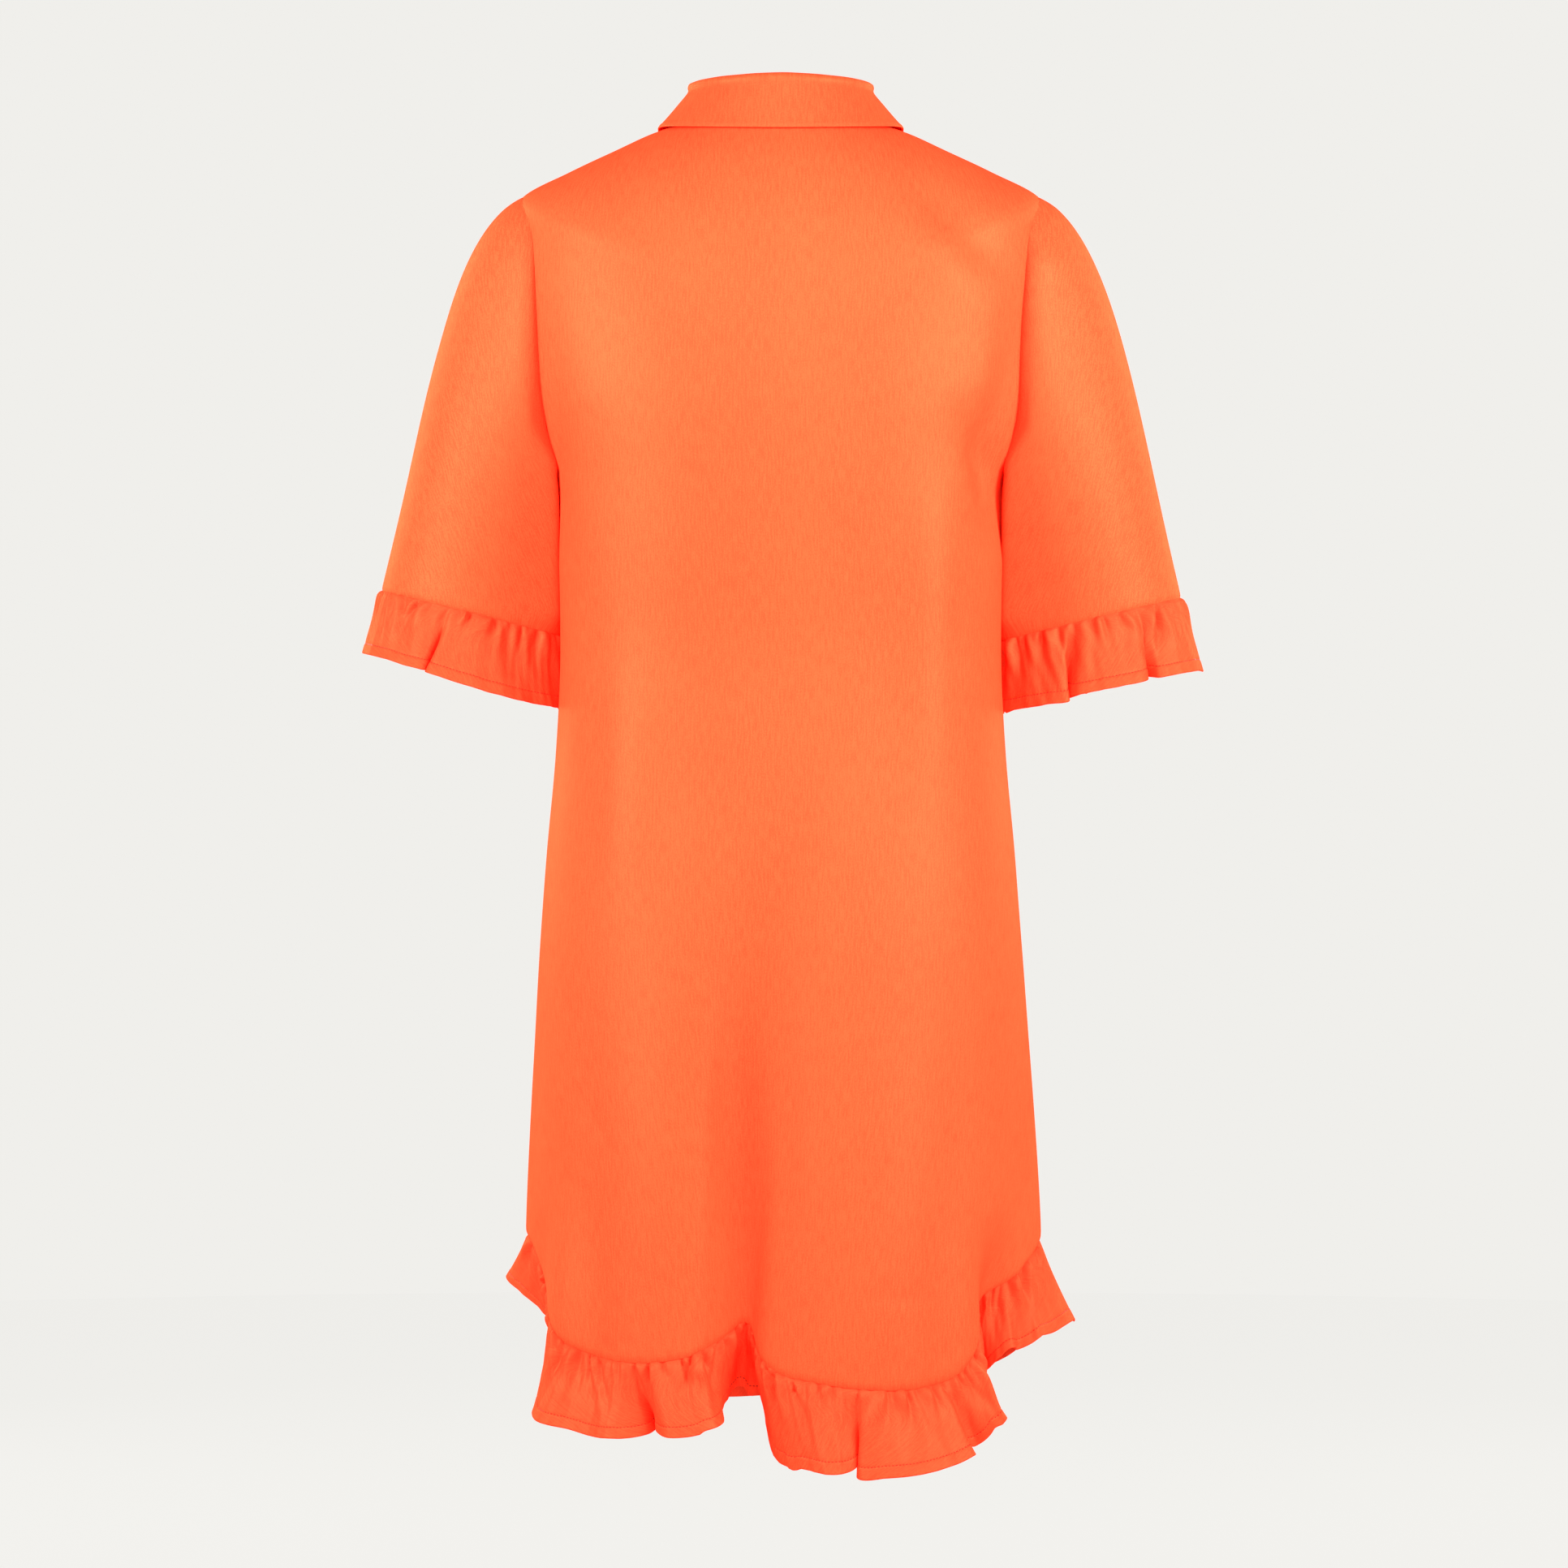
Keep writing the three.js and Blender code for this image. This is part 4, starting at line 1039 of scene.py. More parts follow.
@dataclass(frozen=True)
class Gathers:
    """The small creases that run down from a gathered seam, each with a ridge beside it."""

    seed: int
    least_space: float = 4.5
    most_space: float = 15.0
    depth: float = 4.3
    reach: float = 26.0

    def lift(self, along: Array, down: Array) -> Array:
        """How far the creases move the cloth.

        Args:
            along: millimetres along the seam.
            down: millimetres below the seam.

        Returns:
            Millimetres out of the cloth.
        """
        rng = np.random.default_rng(self.seed)
        out = np.zeros_like(down)
        place = 2.0
        total = float(along.max())
        while place < total - 2:
            depth = self.depth * rng.uniform(0.3, 1.3)
            reach = self.reach * rng.uniform(0.35, 1.7)
            drift = rng.uniform(-0.3, 0.3)
            width = rng.uniform(1.1, 2.3)
            lean = rng.choice((-1.0, 1.0)) * rng.uniform(1.3, 2.0)
            spread = width * (1 + down / rng.uniform(8, 18))
            off = (along - place - drift * down) / spread
            rise = (1 - np.exp(-down / 1.8)) * np.exp(-((down / reach) ** 1.5))
            out -= depth * rise * (np.exp(-(off**2)) - 0.6 * np.exp(-(((off - lean) / 1.3) ** 2)))
            place += rng.uniform(self.least_space, self.most_space)
        return out + 0.2 * self.depth * (1 - np.exp(-down / 3)) * np.exp(-down / self.reach)


@dataclass
class Ruffle:
    """What every ruffle shares: its rows, gathers, hem and stitching."""

    name: str
    flat: tuple[float, float]
    height: float
    gathers: Gathers
    tuck: float = 2.0
    hem: float = 8.5
    row_step: float = 1.9
    crinkle: float = 0.2
    end_fade: float = 26.0  # the gathers die away this near to a ruffle's ends

    def downs(self) -> Array:
        """Millimetres below the seam of each row."""
        near_seam = (0.6, 1.3, 2.2, 3.2, 4.4)
        rows = spaced(0, self.height, self.row_step, near_seam)
        line = self.height - self.hem
        close = [line - 1.4, line - 0.6, line, line + 0.6, line + 1.4]
        rows = rows[np.abs(rows - line) > 1.9]
        rim = [self.height - d for d in (0.2, 0.5, 1.0)]
        rows = rows[rows < self.height - 1.6]
        return np.unique(np.round(np.concatenate([rows, close, rim, [self.height]]), 5))

    def finish_grid(self, grid: Grid, down: Array) -> Grid:
        """Adds the gathers and the stitched hem to the hanging cloth."""
        along = lengths(grid.points, 1)[:1] + 0 * down
        out = self.gathers.lift(along, down)
        line = self.height - self.hem
        out = out - groove(down, line, 0.28, 0.8)
        pucker = np.sin(along / 1.9 + 2.1 * np.sin(along / 13)) * groove(down, line, 1.0, 4.5)
        loose = smooth(down / 12) * ripple(grid.points, 1.0, 3.7 + self.gathers.seed)
        out = out + 0.1 * pucker + 0.5 * loose + self.crinkles(along, down)
        if not grid.is_tube:
            out = out * smooth(np.minimum(along, along.max() - along) / self.end_fade)
        grid.lift(out)
        grid.turn_normals()
        return grid

    def crinkles(self, along: Array, down: Array) -> Array:
        """Small soft creases that run down the ruffle and wander a little."""
        rng = np.random.default_rng(self.gathers.seed + 40)
        out = np.zeros_like(down)
        for wave in (5.2, 6.9, 8.6, 11.5, 15.0, 21.0):
            turn, drift, slow = rng.uniform(0, 6.3), rng.uniform(-0.25, 0.25), rng.uniform(30, 70)
            size = self.crinkle * wave / 10 * (1 + np.sin(along / slow + turn))
            wander = turn + np.sin(down / 19 + turn)
            out += size * np.sin((along + drift * down) * 2 * math.pi / wave + wander)
        return out * smooth(down / 5) * (1 - 0.5 * smooth(down / self.height))

    def thickness(self, down: Array) -> Array:
        """One ply above the hem's stitching and two below it, with a rounded foot."""
        line = self.height - self.hem
        ply = CLOTH + 0.5 * smooth((down - line) / 1.2)
        return np.minimum(ply, rounded_rim(self.height - down, CLOTH + 0.5))

    def stitch_line(self, grid: Grid, down: Array) -> "StitchLine":
        """The line of stitches along the hem, just above the cloth."""
        row = int(np.argmin(np.abs(down[:, 0] - (self.height - self.hem))))
        lifted = grid.points[row] + grid.normals[row] * (CLOTH / 2 + THREAD_OUT)
        return StitchLine(lifted, grid.normals[row], is_closed=grid.is_tube)

    def made(self, hanging: Grid, down: Array, above: Array,
             finish: "SatinCrepe") -> tuple[Piece, "StitchLine"]:
        """Makes the ruffle from its hanging cloth.

        Args:
            hanging: the cloth before its gathers and hem.
            down: millimetres below the seam of each place.
            above: one more row, tucked in behind the cloth above.
            finish: the cloth's finish.

        Returns:
            The ruffle, and the line that its hem is stitched along.
        """
        hanging.turn_normals()
        grid = self.finish_grid(hanging, down)
        stitches = self.stitch_line(grid, down)
        thickness = self.thickness(down)
        grid.points = np.concatenate([above, grid.points])
        grid.normals = np.concatenate([grid.normals[:1], grid.normals])
        thickness = np.concatenate([thickness[:1], thickness])
        grid.measure()
        return finish.dress(make_shell(self.name, grid, thickness)), stitches


@dataclass
class HemRuffle(Ruffle):
    """A gathered ruffle below one panel, between two angles of the hem."""

    form: BodyForm | None = None
    start: float = 180.0
    end: float = 0.0
    hang: Hang | None = None
    columns: int = 600
    inset: float = 2.4

    def hanging(self, angle: Array, down: Array) -> Grid:
        """The ruffle before its gathers and hem."""
        form = self.form
        share = down / self.height
        seam = form.point(angle, HEM_LEVEL)
        normal = form.normal(angle, HEM_LEVEL)
        fall = unit(seam - form.point(angle, HEM_LEVEL - 0.4))
        along = unit(form.point(angle + 0.5, HEM_LEVEL) - form.point(angle - 0.5, HEM_LEVEL))
        outward = unit(np.cross(along, fall))
        facing = np.sign(np.sum(outward[..., :2] * seam[..., :2], -1, keepdims=True))
        outward = outward * facing
        out, aside, drop = self.hang.at(angle)
        flare = form.hem(angle, "flare") + out
        sway = form.hem(angle, "sway") + aside
        reach = np.minimum(flare**2 + sway**2, (0.75 * self.height) ** 2)
        straight = np.sqrt(self.height**2 - reach) + drop
        points = seam + fall * (straight * share)[..., None]
        grown = share**1.25
        points = points + outward * (flare * grown)[..., None] + along * (sway * grown)[..., None]
        points = points - normal * (self.inset * np.exp(-down / 3.2))[..., None]
        return Grid(points, outward + 0 * points)

    def build(self, finish: "SatinCrepe") -> tuple[Piece, "StitchLine"]:
        """Makes the ruffle and the line that its hem is stitched along."""
        down = self.downs()[:, None]
        angle = np.linspace(self.start, self.end, self.columns)[None, :]
        angle, down = np.broadcast_arrays(angle, down)
        above = self.form.point(angle[:1], HEM_LEVEL - 0.05)
        above = above - self.form.normal(angle[:1], HEM_LEVEL) * self.inset
        return self.made(self.hanging(angle, down), down, above, finish)


@dataclass
class CuffRuffle(Ruffle):
    """The gathered ruffle of one cuff."""

    sleeve: Sleeve | None = None
    hang: Hang | None = None
    columns: int = 380
    flare: float = 3.0
    drawn_in: float = 5.0
    inset: float = 1.2

    def hanging(self, around: Array, down: Array) -> Grid:
        """The ruffle before its gathers and hem."""
        share = down / self.height
        out, aside, drop = self.hang.at(around)
        grow = self.flare * share**1.4 + out * share**1.2 - self.inset * np.exp(-down / 2.5)
        turn = np.degrees(aside * share**1.25 / self.sleeve.cuff_half_width)
        points = self.sleeve.cuff(around + turn, down + drop * share, grow)
        points[..., 0] -= self.sleeve.side.value * self.drawn_in * share**2
        points = self.sleeve.clear_of_body(points)
        return Grid(points, np.zeros_like(points), is_tube=True)

    def build(self, finish: "SatinCrepe") -> tuple[Piece, "StitchLine"]:
        """Makes the ruffle and the line that its hem is stitched along."""
        around = np.linspace(0, 360, self.columns, endpoint=False)
        if self.sleeve.side is Side.LEFT:
            around = around[::-1]
        around, down = np.broadcast_arrays(around[None, :], self.downs()[:, None])
        above = self.sleeve.clear_of_body(self.sleeve.cuff(around[:1], -2.2, -2.0))
        return self.made(self.hanging(around, down), down, above, finish)


# ------------------------------------------------------------------ collar


@dataclass
class Neck:
    """The fold line at the top of the collar, which the stand reaches up to."""

    form: BodyForm
    side: float = 32.0
    back: float = 35.5
    front: float = -30.0
    width: float = 67.0
    back_depth: float = 60.0
    front_depth: float = 73.0

    def fold(self, angle: Array) -> Array:
        """Places on the fold line."""
        c, s = turned_to(angle)
        depth = np.where(s > 0, self.back_depth, self.front_depth)
        middle = np.where(s > 0, self.back, self.front)
        return np.stack([self.width * c, depth * s, mix(middle, self.side, c * c)], -1)

    def outward(self, angle: Array) -> Array:
        """Level directions out of the neck."""
        c, s = turned_to(angle)
        return unit(np.stack([c / self.width, s / self.back_depth, np.zeros_like(c)], -1))


@dataclass
class CollarStand:
    """The stand of the collar: its right end laps over its left end in front."""

    neck: Neck
    flat: tuple[float, float] = (0.44, 0.034)
    lap: float = 1.05
    seam: float = 0.4
    thickness: float = 1.3

    def grid(self) -> Grid:
        """The stand's cloth."""
        lap = math.degrees(math.asin(BAND_HALF / self.neck.width))
        angle = np.linspace(270 + lap, -90 - lap, 300)[None, :]
        up = np.linspace(1, 0, 18)[:, None]
        angle, up = np.broadcast_arrays(angle, up)
        seam = self.neck.form.point(angle, 0.0)
        points = mix(seam, self.neck.fold(angle), up[..., None])
        points[..., 2] += self.seam * (1 - up)
        right = smooth((angle - 270 + 2.2 * lap) / (1.2 * lap))
        left = smooth((-90 + 2.2 * lap - angle) / (1.2 * lap))
        points = points + self.neck.outward(angle) * (self.lap * (right - left))[..., None]
        grid = Grid(points, np.zeros_like(points))
        grid.turn_normals()
        grid.measure()
        return grid

    def build(self, finish: "SatinCrepe") -> Piece:
        """Makes the stand and gives it its finish."""
        grid = self.grid()
        thickness = rounded_rim(np.minimum(*sideways(grid)) + 0.1, self.thickness)
        return finish.dress(make_shell("collar_stand_cloth", grid, thickness))


@dataclass(frozen=True)
class CollarEdge:
    """The free edge of the collar at a share of the way to its front end."""

    along: float
    angle: float
    level: float


@dataclass
class Collar:
    """The fall of the collar, from its fold down to its free edge."""

    neck: Neck
    flat: tuple[float, float] = (0.50, 0.052)
    lift: float = 3.0
    front_space: float = 4.0
    thickness: float = 1.5
    stitch_in: float = 2.6
    edges: tuple[CollarEdge, ...] = (
        CollarEdge(0, 90, 0.84),
        CollarEdge(0.25, 46, 0.82),
        CollarEdge(0.5, 2, 0.74),
        CollarEdge(0.72, -30, 1.05),
        CollarEdge(1, -60, 1.75),
    )
    side_narrow: float = 0.7
    section: tuple[tuple[float, float], ...] = ((-0.8, 1.5), (1.8, 2.0), (4.0, 0.0), (4.7, -4.0))

    def free_edge(self, share: Array, side: Array) -> Array:
        """Places on the free edge."""
        starts = np.array([edge.along for edge in self.edges])
        row = np.clip(np.searchsorted(starts, share, side="right") - 1, 0, len(starts) - 2)
        f = (share - starts[row]) / (starts[row + 1] - starts[row])
        angle = through_rows(np.array([edge.angle for edge in self.edges]), row + f)
        level = through_rows(np.array([edge.level for edge in self.edges]), row + f)
        angle = np.where(side > 0, angle, 180 - angle)
        return self.neck.form.laid(angle, level, np.full_like(angle, self.lift))

    def grid(self) -> tuple[Grid, Array]:
        """The fall's cloth and the distance of each place from its free edge."""
        place = spaced(-1, 1, 0.0085, (0.0012, 0.003, 0.006))
        side = np.where(place > 0, -1.0, 1.0)
        share = np.abs(place)
        front_end = math.degrees(math.asin(self.front_space / self.neck.width))
        angle = 90 - side * share * (180 - front_end)
        outward = self.neck.outward(angle)
        fold = self.neck.fold(angle)
        step = self.neck.fold(angle + 1) - self.neck.fold(angle - 1)
        above = unit(np.cross(outward, step))
        narrow = (1 - self.side_narrow * np.cos(np.radians(angle)) ** 2)[:, None]
        coarse = [fold + outward * out * narrow + above * up for out, up in self.section]
        free = self.free_edge(share, side)
        for down in (1 / 3, 2 / 3, 1.0):
            bulge = -0.4 * math.sin(math.pi * down)
            coarse.append(mix(coarse[3], free, down) + outward * bulge)
        rows = np.concatenate([np.linspace(0, 3, 14)[:-1], np.linspace(3, 5.7, 22)[:-1],
                               np.linspace(5.7, 5.95, 6)[:-1], [5.95, 5.97, 5.985, 5.995, 6.0]])
        points = through_rows(np.array(coarse), rows)
        grid = Grid(points, np.zeros_like(points))
        grid.turn_normals()
        foot = downward(grid)[1]
        edge = np.minimum(foot, np.minimum(*sideways(grid)))
        grid.lift(ripple(points, 0.22, 0.9) * smooth(foot / 8) - groove(edge, self.stitch_in, 0.25))
        grid.turn_normals()
        grid.measure()
        return grid, edge

    def build(self, finish: "SatinCrepe") -> Piece:
        """Makes the fall with a rounded free edge and gives it its finish."""
        grid, edge = self.grid()
        return finish.dress(make_shell("collar_cloth", grid, rounded_rim(edge, self.thickness)))

    def stitch_lines(self) -> list["StitchLine"]:
        """The topstitching near the free edge, down one front, round and up the other."""
        grid, _ = self.grid()
        foot = downward(grid)[1]
        near_end, _ = sideways(grid)
        out = self.thickness / 2 + 0.1
        points = grid.points + grid.normals * out
        columns = np.arange(points.shape[1])
        rows = np.array([np.interp(-self.stitch_in, -foot[:, j], np.arange(len(foot))) for j in columns])
        low = np.floor(rows).astype(int)
        f = (rows - low)[:, None]
        inside = (near_end[-3] > self.stitch_in) & (near_end[-3] < near_end[-3, -1] - self.stitch_in)
        line = mix(points[low, columns], points[np.minimum(low + 1, len(foot) - 1), columns], f)
        normals = grid.normals[low, columns]
        return [StitchLine(line[inside], normals[inside])]


# ------------------------------------------------------------------ stitches


@dataclass
class StitchLine:
    """A line to be stitched: places on the cloth and the directions out of it."""

    points: Array
    normals: Array
    is_closed: bool = False


class NodeTree:
    """A node tree that is built with one method."""

    def __init__(self, tree: bpy.types.NodeTree) -> None:
        self.tree = tree
        self.count = 0

    def add(self, kind: str, settings: dict[str, Any] | None = None,
            inputs: dict[Any, Any] | None = None) -> bpy.types.Node:
        """Adds one node.

        Args:
            kind: the node's type.
            settings: its settings, made first.
            inputs: a value or an output socket for each input, by name or number.

        Returns:
            The node.
        """
        node = self.tree.nodes.new(kind)
        node.location = (220 * (self.count % 12), -260 * (self.count // 12))
        self.count += 1
        for name, value in (settings or {}).items():
            setattr(node, name, value)
        for name, value in (inputs or {}).items():
            socket = node.inputs[name]
            source = value.socket if isinstance(value, Value) else value
            if isinstance(source, Socket):
                self.tree.links.new(source, socket)
            else:
                socket.default_value = source
        return node

    def math(self, operation: str, *values: Any) -> "Value":
        """Adds a Math node and returns its result."""
        node = self.add("ShaderNodeMath", {"operation": operation}, dict(enumerate(values)))
        return Value(self, node.outputs[0])

    def blend(self, share: Any, deep: "Colour", light: "Colour") -> Socket:
        """Adds a mix of two colours."""
        inputs = {0: share, 6: (*deep, 1.0), 7: (*light, 1.0)}
        return self.add("ShaderNodeMix", {"data_type": "RGBA"}, inputs).outputs[2]

    def bump(self, strength: float, distance: float, height: Any) -> Socket:
        """Adds a bump; the distance is in metres."""
        inputs = {"Strength": strength, "Distance": distance, "Height": height}
        return self.add("ShaderNodeBump", None, inputs).outputs[0]

    def principled(self, colour: Any, roughness: Any, specular: float,
                   normal: Socket) -> Socket:
        """Adds a plain surface."""
        inputs = {"Base Color": colour, "Roughness": roughness, "Specular IOR Level": specular,
                  "Normal": normal}
        return self.add("ShaderNodeBsdfPrincipled", None, inputs).outputs[0]

    def mixed(self, share: float, first: Socket,
              second: Socket) -> Socket:
        """Adds a mix of two surfaces."""
        return self.add("ShaderNodeMixShader", None, {0: share, 1: first, 2: second}).outputs[0]


class Value:
    """A number that comes out of a node, for use in sums."""

    def __init__(self, tree: NodeTree, socket: Socket) -> None:
        self.tree = tree
        self.socket = socket

    def __add__(self, other: Any) -> "Value":
        """Sum."""
        return self.tree.math("ADD", self, other)

    __radd__ = __add__

    def __sub__(self, other: Any) -> "Value":
        """Difference."""
        return self.tree.math("SUBTRACT", self, other)

    def __mul__(self, other: Any) -> "Value":
        """Product."""
        return self.tree.math("MULTIPLY", self, other)

    __rmul__ = __mul__

    def kept(self) -> "Value":
        """The number held between 0 and 1."""
        node = self.tree.add("ShaderNodeClamp", None, {"Value": self})
        return Value(self.tree, node.outputs[0])


@dataclass
class Stitching:
    """A row of stitches laid along lines by one geometry tree."""

    name: str
    length: float = 1.8
    spacing: float = 2.6
    width: float = 0.8
    height: float = 0.3

    def path(self, lines: Sequence[StitchLine]) -> Piece:
        """Makes the lines as edges that know the direction out of the cloth."""
        verts, edges, outward = [], [], []
        for line in lines:
            base = len(verts)
            count = len(line.points)
            verts.extend((line.points * MM).tolist())
            outward.extend(line.normals.tolist())
            edges.extend((base + i, base + i + 1) for i in range(count - 1))
            if line.is_closed:
                edges.append((base + count - 1, base))
        mesh = bpy.data.meshes.new(self.name)
        mesh.from_pydata(verts, edges, [])
        layer = mesh.attributes.new("outward", "FLOAT_VECTOR", "POINT")
        layer.data.foreach_set("vector", np.array(outward, np.float32).ravel())
        return linked(self.name + "_path", mesh)

    def tree(self) -> bpy.types.NodeTree:
        """The geometry tree that turns lines into stitches."""
        group = bpy.data.node_groups.new(self.name, "GeometryNodeTree")
        face = group.interface
        face.new_socket(name="Lines", in_out="INPUT", socket_type="NodeSocketGeometry")
        for name in ("Length", "Spacing", "Width", "Height"):
            face.new_socket(name=name, in_out="INPUT", socket_type="NodeSocketFloat")
        face.new_socket(name="Thread", in_out="INPUT", socket_type="NodeSocketMaterial")
        face.new_socket(name="Stitches", in_out="OUTPUT", socket_type="NodeSocketGeometry")
        tree = NodeTree(group)
        given = tree.add("NodeGroupInput").outputs
        curve = tree.add("GeometryNodeMeshToCurve", None, {0: given["Lines"]})
        even = tree.add("GeometryNodeResampleCurve", {"mode": "LENGTH"},
                        {"Curve": curve.outputs[0], "Length": given["Spacing"]})
        outward = tree.add("GeometryNodeInputNamedAttribute", {"data_type": "FLOAT_VECTOR"},
                           {"Name": "outward"})
        upright = tree.add("FunctionNodeAlignRotationToVector", {"axis": "Z"},
                           {"Vector": outward.outputs["Attribute"]})
        tangent = tree.add("GeometryNodeInputTangent")
        facing = tree.add("FunctionNodeAlignRotationToVector", {"axis": "X", "pivot_axis": "Z"},
                          {"Rotation": upright.outputs[0], "Vector": tangent.outputs[0]})
        bead = tree.add("GeometryNodeMeshUVSphere", None, {"Segments": 6, "Rings": 5, "Radius": 0.5})
        size = tree.add("ShaderNodeCombineXYZ", None,
                        {"X": given["Length"], "Y": given["Width"], "Z": given["Height"]})
        stitch = tree.add("GeometryNodeTransform", None,
                          {"Geometry": bead.outputs["Mesh"], "Scale": size.outputs[0]})
        placed = tree.add("GeometryNodeInstanceOnPoints", None,
                          {"Points": even.outputs[0], "Instance": stitch.outputs[0],
                           "Rotation": facing.outputs[0]})
        real = tree.add("GeometryNodeRealizeInstances", None, {0: placed.outputs[0]})
        soft = tree.add("GeometryNodeSetShadeSmooth", None, {"Geometry": real.outputs[0]})
        dressed = tree.add("GeometryNodeSetMaterial", None,
                           {"Geometry": soft.outputs[0], "Material": given["Thread"]})
        tree.add("NodeGroupOutput", None, {"Stitches": dressed.outputs[0]})
        return group

    def sew(self, lines: Sequence[StitchLine], thread: bpy.types.Material) -> Piece:
        """Lays the stitches and makes them a plain mesh.

        Args:
            lines: the lines to follow.
            thread: the thread's material.

        Returns:
            The stitches' object.
        """
        path = self.path(lines)
        group = self.tree()
        modifier = path.modifiers.new("stitches", "NODES")
        modifier.node_group = group
        values = {"Length": self.length * MM, "Spacing": self.spacing * MM, "Width": self.width * MM,
                  "Height": self.height * MM, "Thread": thread}
        for item in group.interface.items_tree:
            if item.in_out == "INPUT" and item.name in values:
                modifier[item.identifier] = values[item.name]
        mesh = worked(path)
        if not mesh.materials:
            mesh.materials.append(thread)
        return linked(self.name, mesh)


# ------------------------------------------------------------------ buttons


@dataclass
class Buttons:
    """Nine sewn buttons down the front: the top one on the collar stand, the other eight on the band, each
    of these with its buttonhole.
    """

    form: BodyForm
    neck: Neck
    band: ButtonBand
    count: int = 9
    first: float = -48.0
    step: float = 86.0
    radius: float = 5.2
    thickness: float = 2.2
    hole_radius: float = 0.65
    hole_out: float = 1.35
    buttonhole: float = 13.5

    def place(self, number: int) -> tuple[Vector, Vector]:
        """Foot and facing of a button, in metres."""
        height = self.first - self.step * number
        if number == 0:
            foot = self.form.point(-90.0, 0.0)
            top = self.neck.fold(np.array(-90.0))
            share = (height - foot[2]) / (top[2] - foot[2])
            slope = unit(top - foot)
            facing = np.array([0, -slope[2], slope[1]])
            spot = mix(foot, top, share) + facing * 2.0
        else:
            level = self.form.level_at(-90.0, height)
            facing = self.form.normal(-90.0, level)
            spot = self.form.laid(-90.0, level, self.band.out + self.band.thickness / 2 + 0.35)
        return Vector(spot * MM), Vector(facing)

    def disc(self) -> bpy.types.Mesh:
        """One button lying flat: a rim, a dished face and four holes."""
        rim, top = self.radius, self.thickness
        profile = [(0.0, 0.0), (rim * 0.8, 0.0), (rim * 0.97, top * 0.25), (rim, top * 0.5),
                   (rim * 0.985, top * 0.78), (rim * 0.93, top * 0.96), (rim * 0.86, top),
                   (rim * 0.78, top * 0.93), (rim * 0.66, top * 0.72), (rim * 0.5, top * 0.66),
                   (0.0, top * 0.64)]
        turns = 48
        verts = [(0.0, 0.0, 0.0)]
        for r, z in profile[1:-1]:
            verts.extend(circle(turns, r, 0.0, 0.0, z))
        verts.append((0.0, 0.0, profile[-1][1]))
        faces: list[tuple[int, ...]] = []
        rows = len(profile) - 2
        for k in range(turns):
            following = (k + 1) % turns
            faces.append((0, 1 + following, 1 + k))
            for row in range(rows - 1):
                low, high = 1 + row * turns, 1 + (row + 1) * turns
                faces.append((low + k, low + following, high + following, high + k))
            last = 1 + (rows - 1) * turns
            faces.append((last + k, last + following, len(verts) - 1))
        blank = linked_faces("button_blank", [tuple(MM * c for c in v) for v in verts], faces)
        drill = self.drill()
        cut = blank.modifiers.new("holes", "BOOLEAN")
        cut.operation = "DIFFERENCE"
        cut.solver = "EXACT"
        cut.object = drill
        drilled = worked(blank)
        bpy.data.objects.remove(drill)
        return drilled

    def drill(self) -> Piece:
        """Four rods that cut the holes."""
        verts: list[tuple[float, ...]] = []
        faces: list[tuple[int, ...]] = []
        turns = 14
        for x, y in ((1, 1), (-1, 1), (-1, -1), (1, -1)):
            base = len(verts)
            for z in (-1.0, self.thickness + 1.0):
                around = circle(turns, self.hole_radius, x * self.hole_out, y * self.hole_out, z)
                verts.extend(tuple(MM * value for value in place) for place in around)
            faces.append(tuple(base + k for k in reversed(range(turns))))
            faces.append(tuple(base + turns + k for k in range(turns)))
            for k in range(turns):
                following = (k + 1) % turns
                faces.append((base + k, base + following, base + turns + following, base + turns + k))
        return linked_faces("button_drill", verts, faces)

    def turned(self, number: int) -> Matrix:
        """Where a button's own shape goes on the dress."""
        foot, facing = self.place(number)
        up = Vector((0, 0, 1))
        across = up.cross(facing).normalized()
        upward = facing.cross(across)
        matrix = Matrix((across, upward, facing)).transposed().to_4x4()
        matrix.translation = foot
        return matrix

    def build(self, finish: "ButtonFinish") -> Piece:
        """Makes the nine buttons as one mesh."""
        disc = self.disc()
        verts, faces = [], []
        for number in range(self.count):
            matrix = self.turned(number)
            base = len(verts)
            verts.extend(tuple(matrix @ v.co) for v in disc.vertices)
            faces.extend(tuple(base + i for i in p.vertices) for p in disc.polygons)
        piece = linked_faces("buttons", verts, faces)
        piece.data.polygons.foreach_set("use_smooth", np.ones(len(faces), bool))
        piece.data.set_sharp_from_angle(angle=SHARP_BUTTON)
        return finish.dress(piece)

    def thread_lines(self) -> list[StitchLine]:
        """The two upright bars of thread through each button's holes."""
        lines = []
        for number in range(self.count):
            matrix = self.turned(number)
            facing = np.array(matrix.col[2][:3])
            for x in (-self.hole_out, self.hole_out):
                ends = []
                for y, z in ((-1.35, 0.55), (-1.0, 0.76), (0.0, 0.83), (1.0, 0.76), (1.35, 0.55)):
                    local = Vector((x, y * self.hole_out / 1.35, z * self.thickness)) * MM
                    ends.append(np.array(matrix @ local) / MM)
                lines.append(StitchLine(np.array(ends), np.tile(facing, (len(ends), 1))))
        return lines

    def buttonhole_lines(self) -> list[StitchLine]:
        """The edges and bars of the buttonholes, upright on the band."""
        lines = []
        out = self.band.out + self.band.thickness / 2 + 0.02
        for number in range(1, self.count):
            height = self.first - self.step * number
            z = np.linspace(height + self.buttonhole / 2, height - self.buttonhole / 2, 12)
            level = self.form.level_at(-90.0, z)
            for x in (-0.9, 0.9):
                points, normals = self.band.places(np.full_like(level, x), level, out)
                lines.append(StitchLine(points, normals))
        return lines


# ------------------------------------------------------------------ finishes

Colour = tuple[float, float, float]


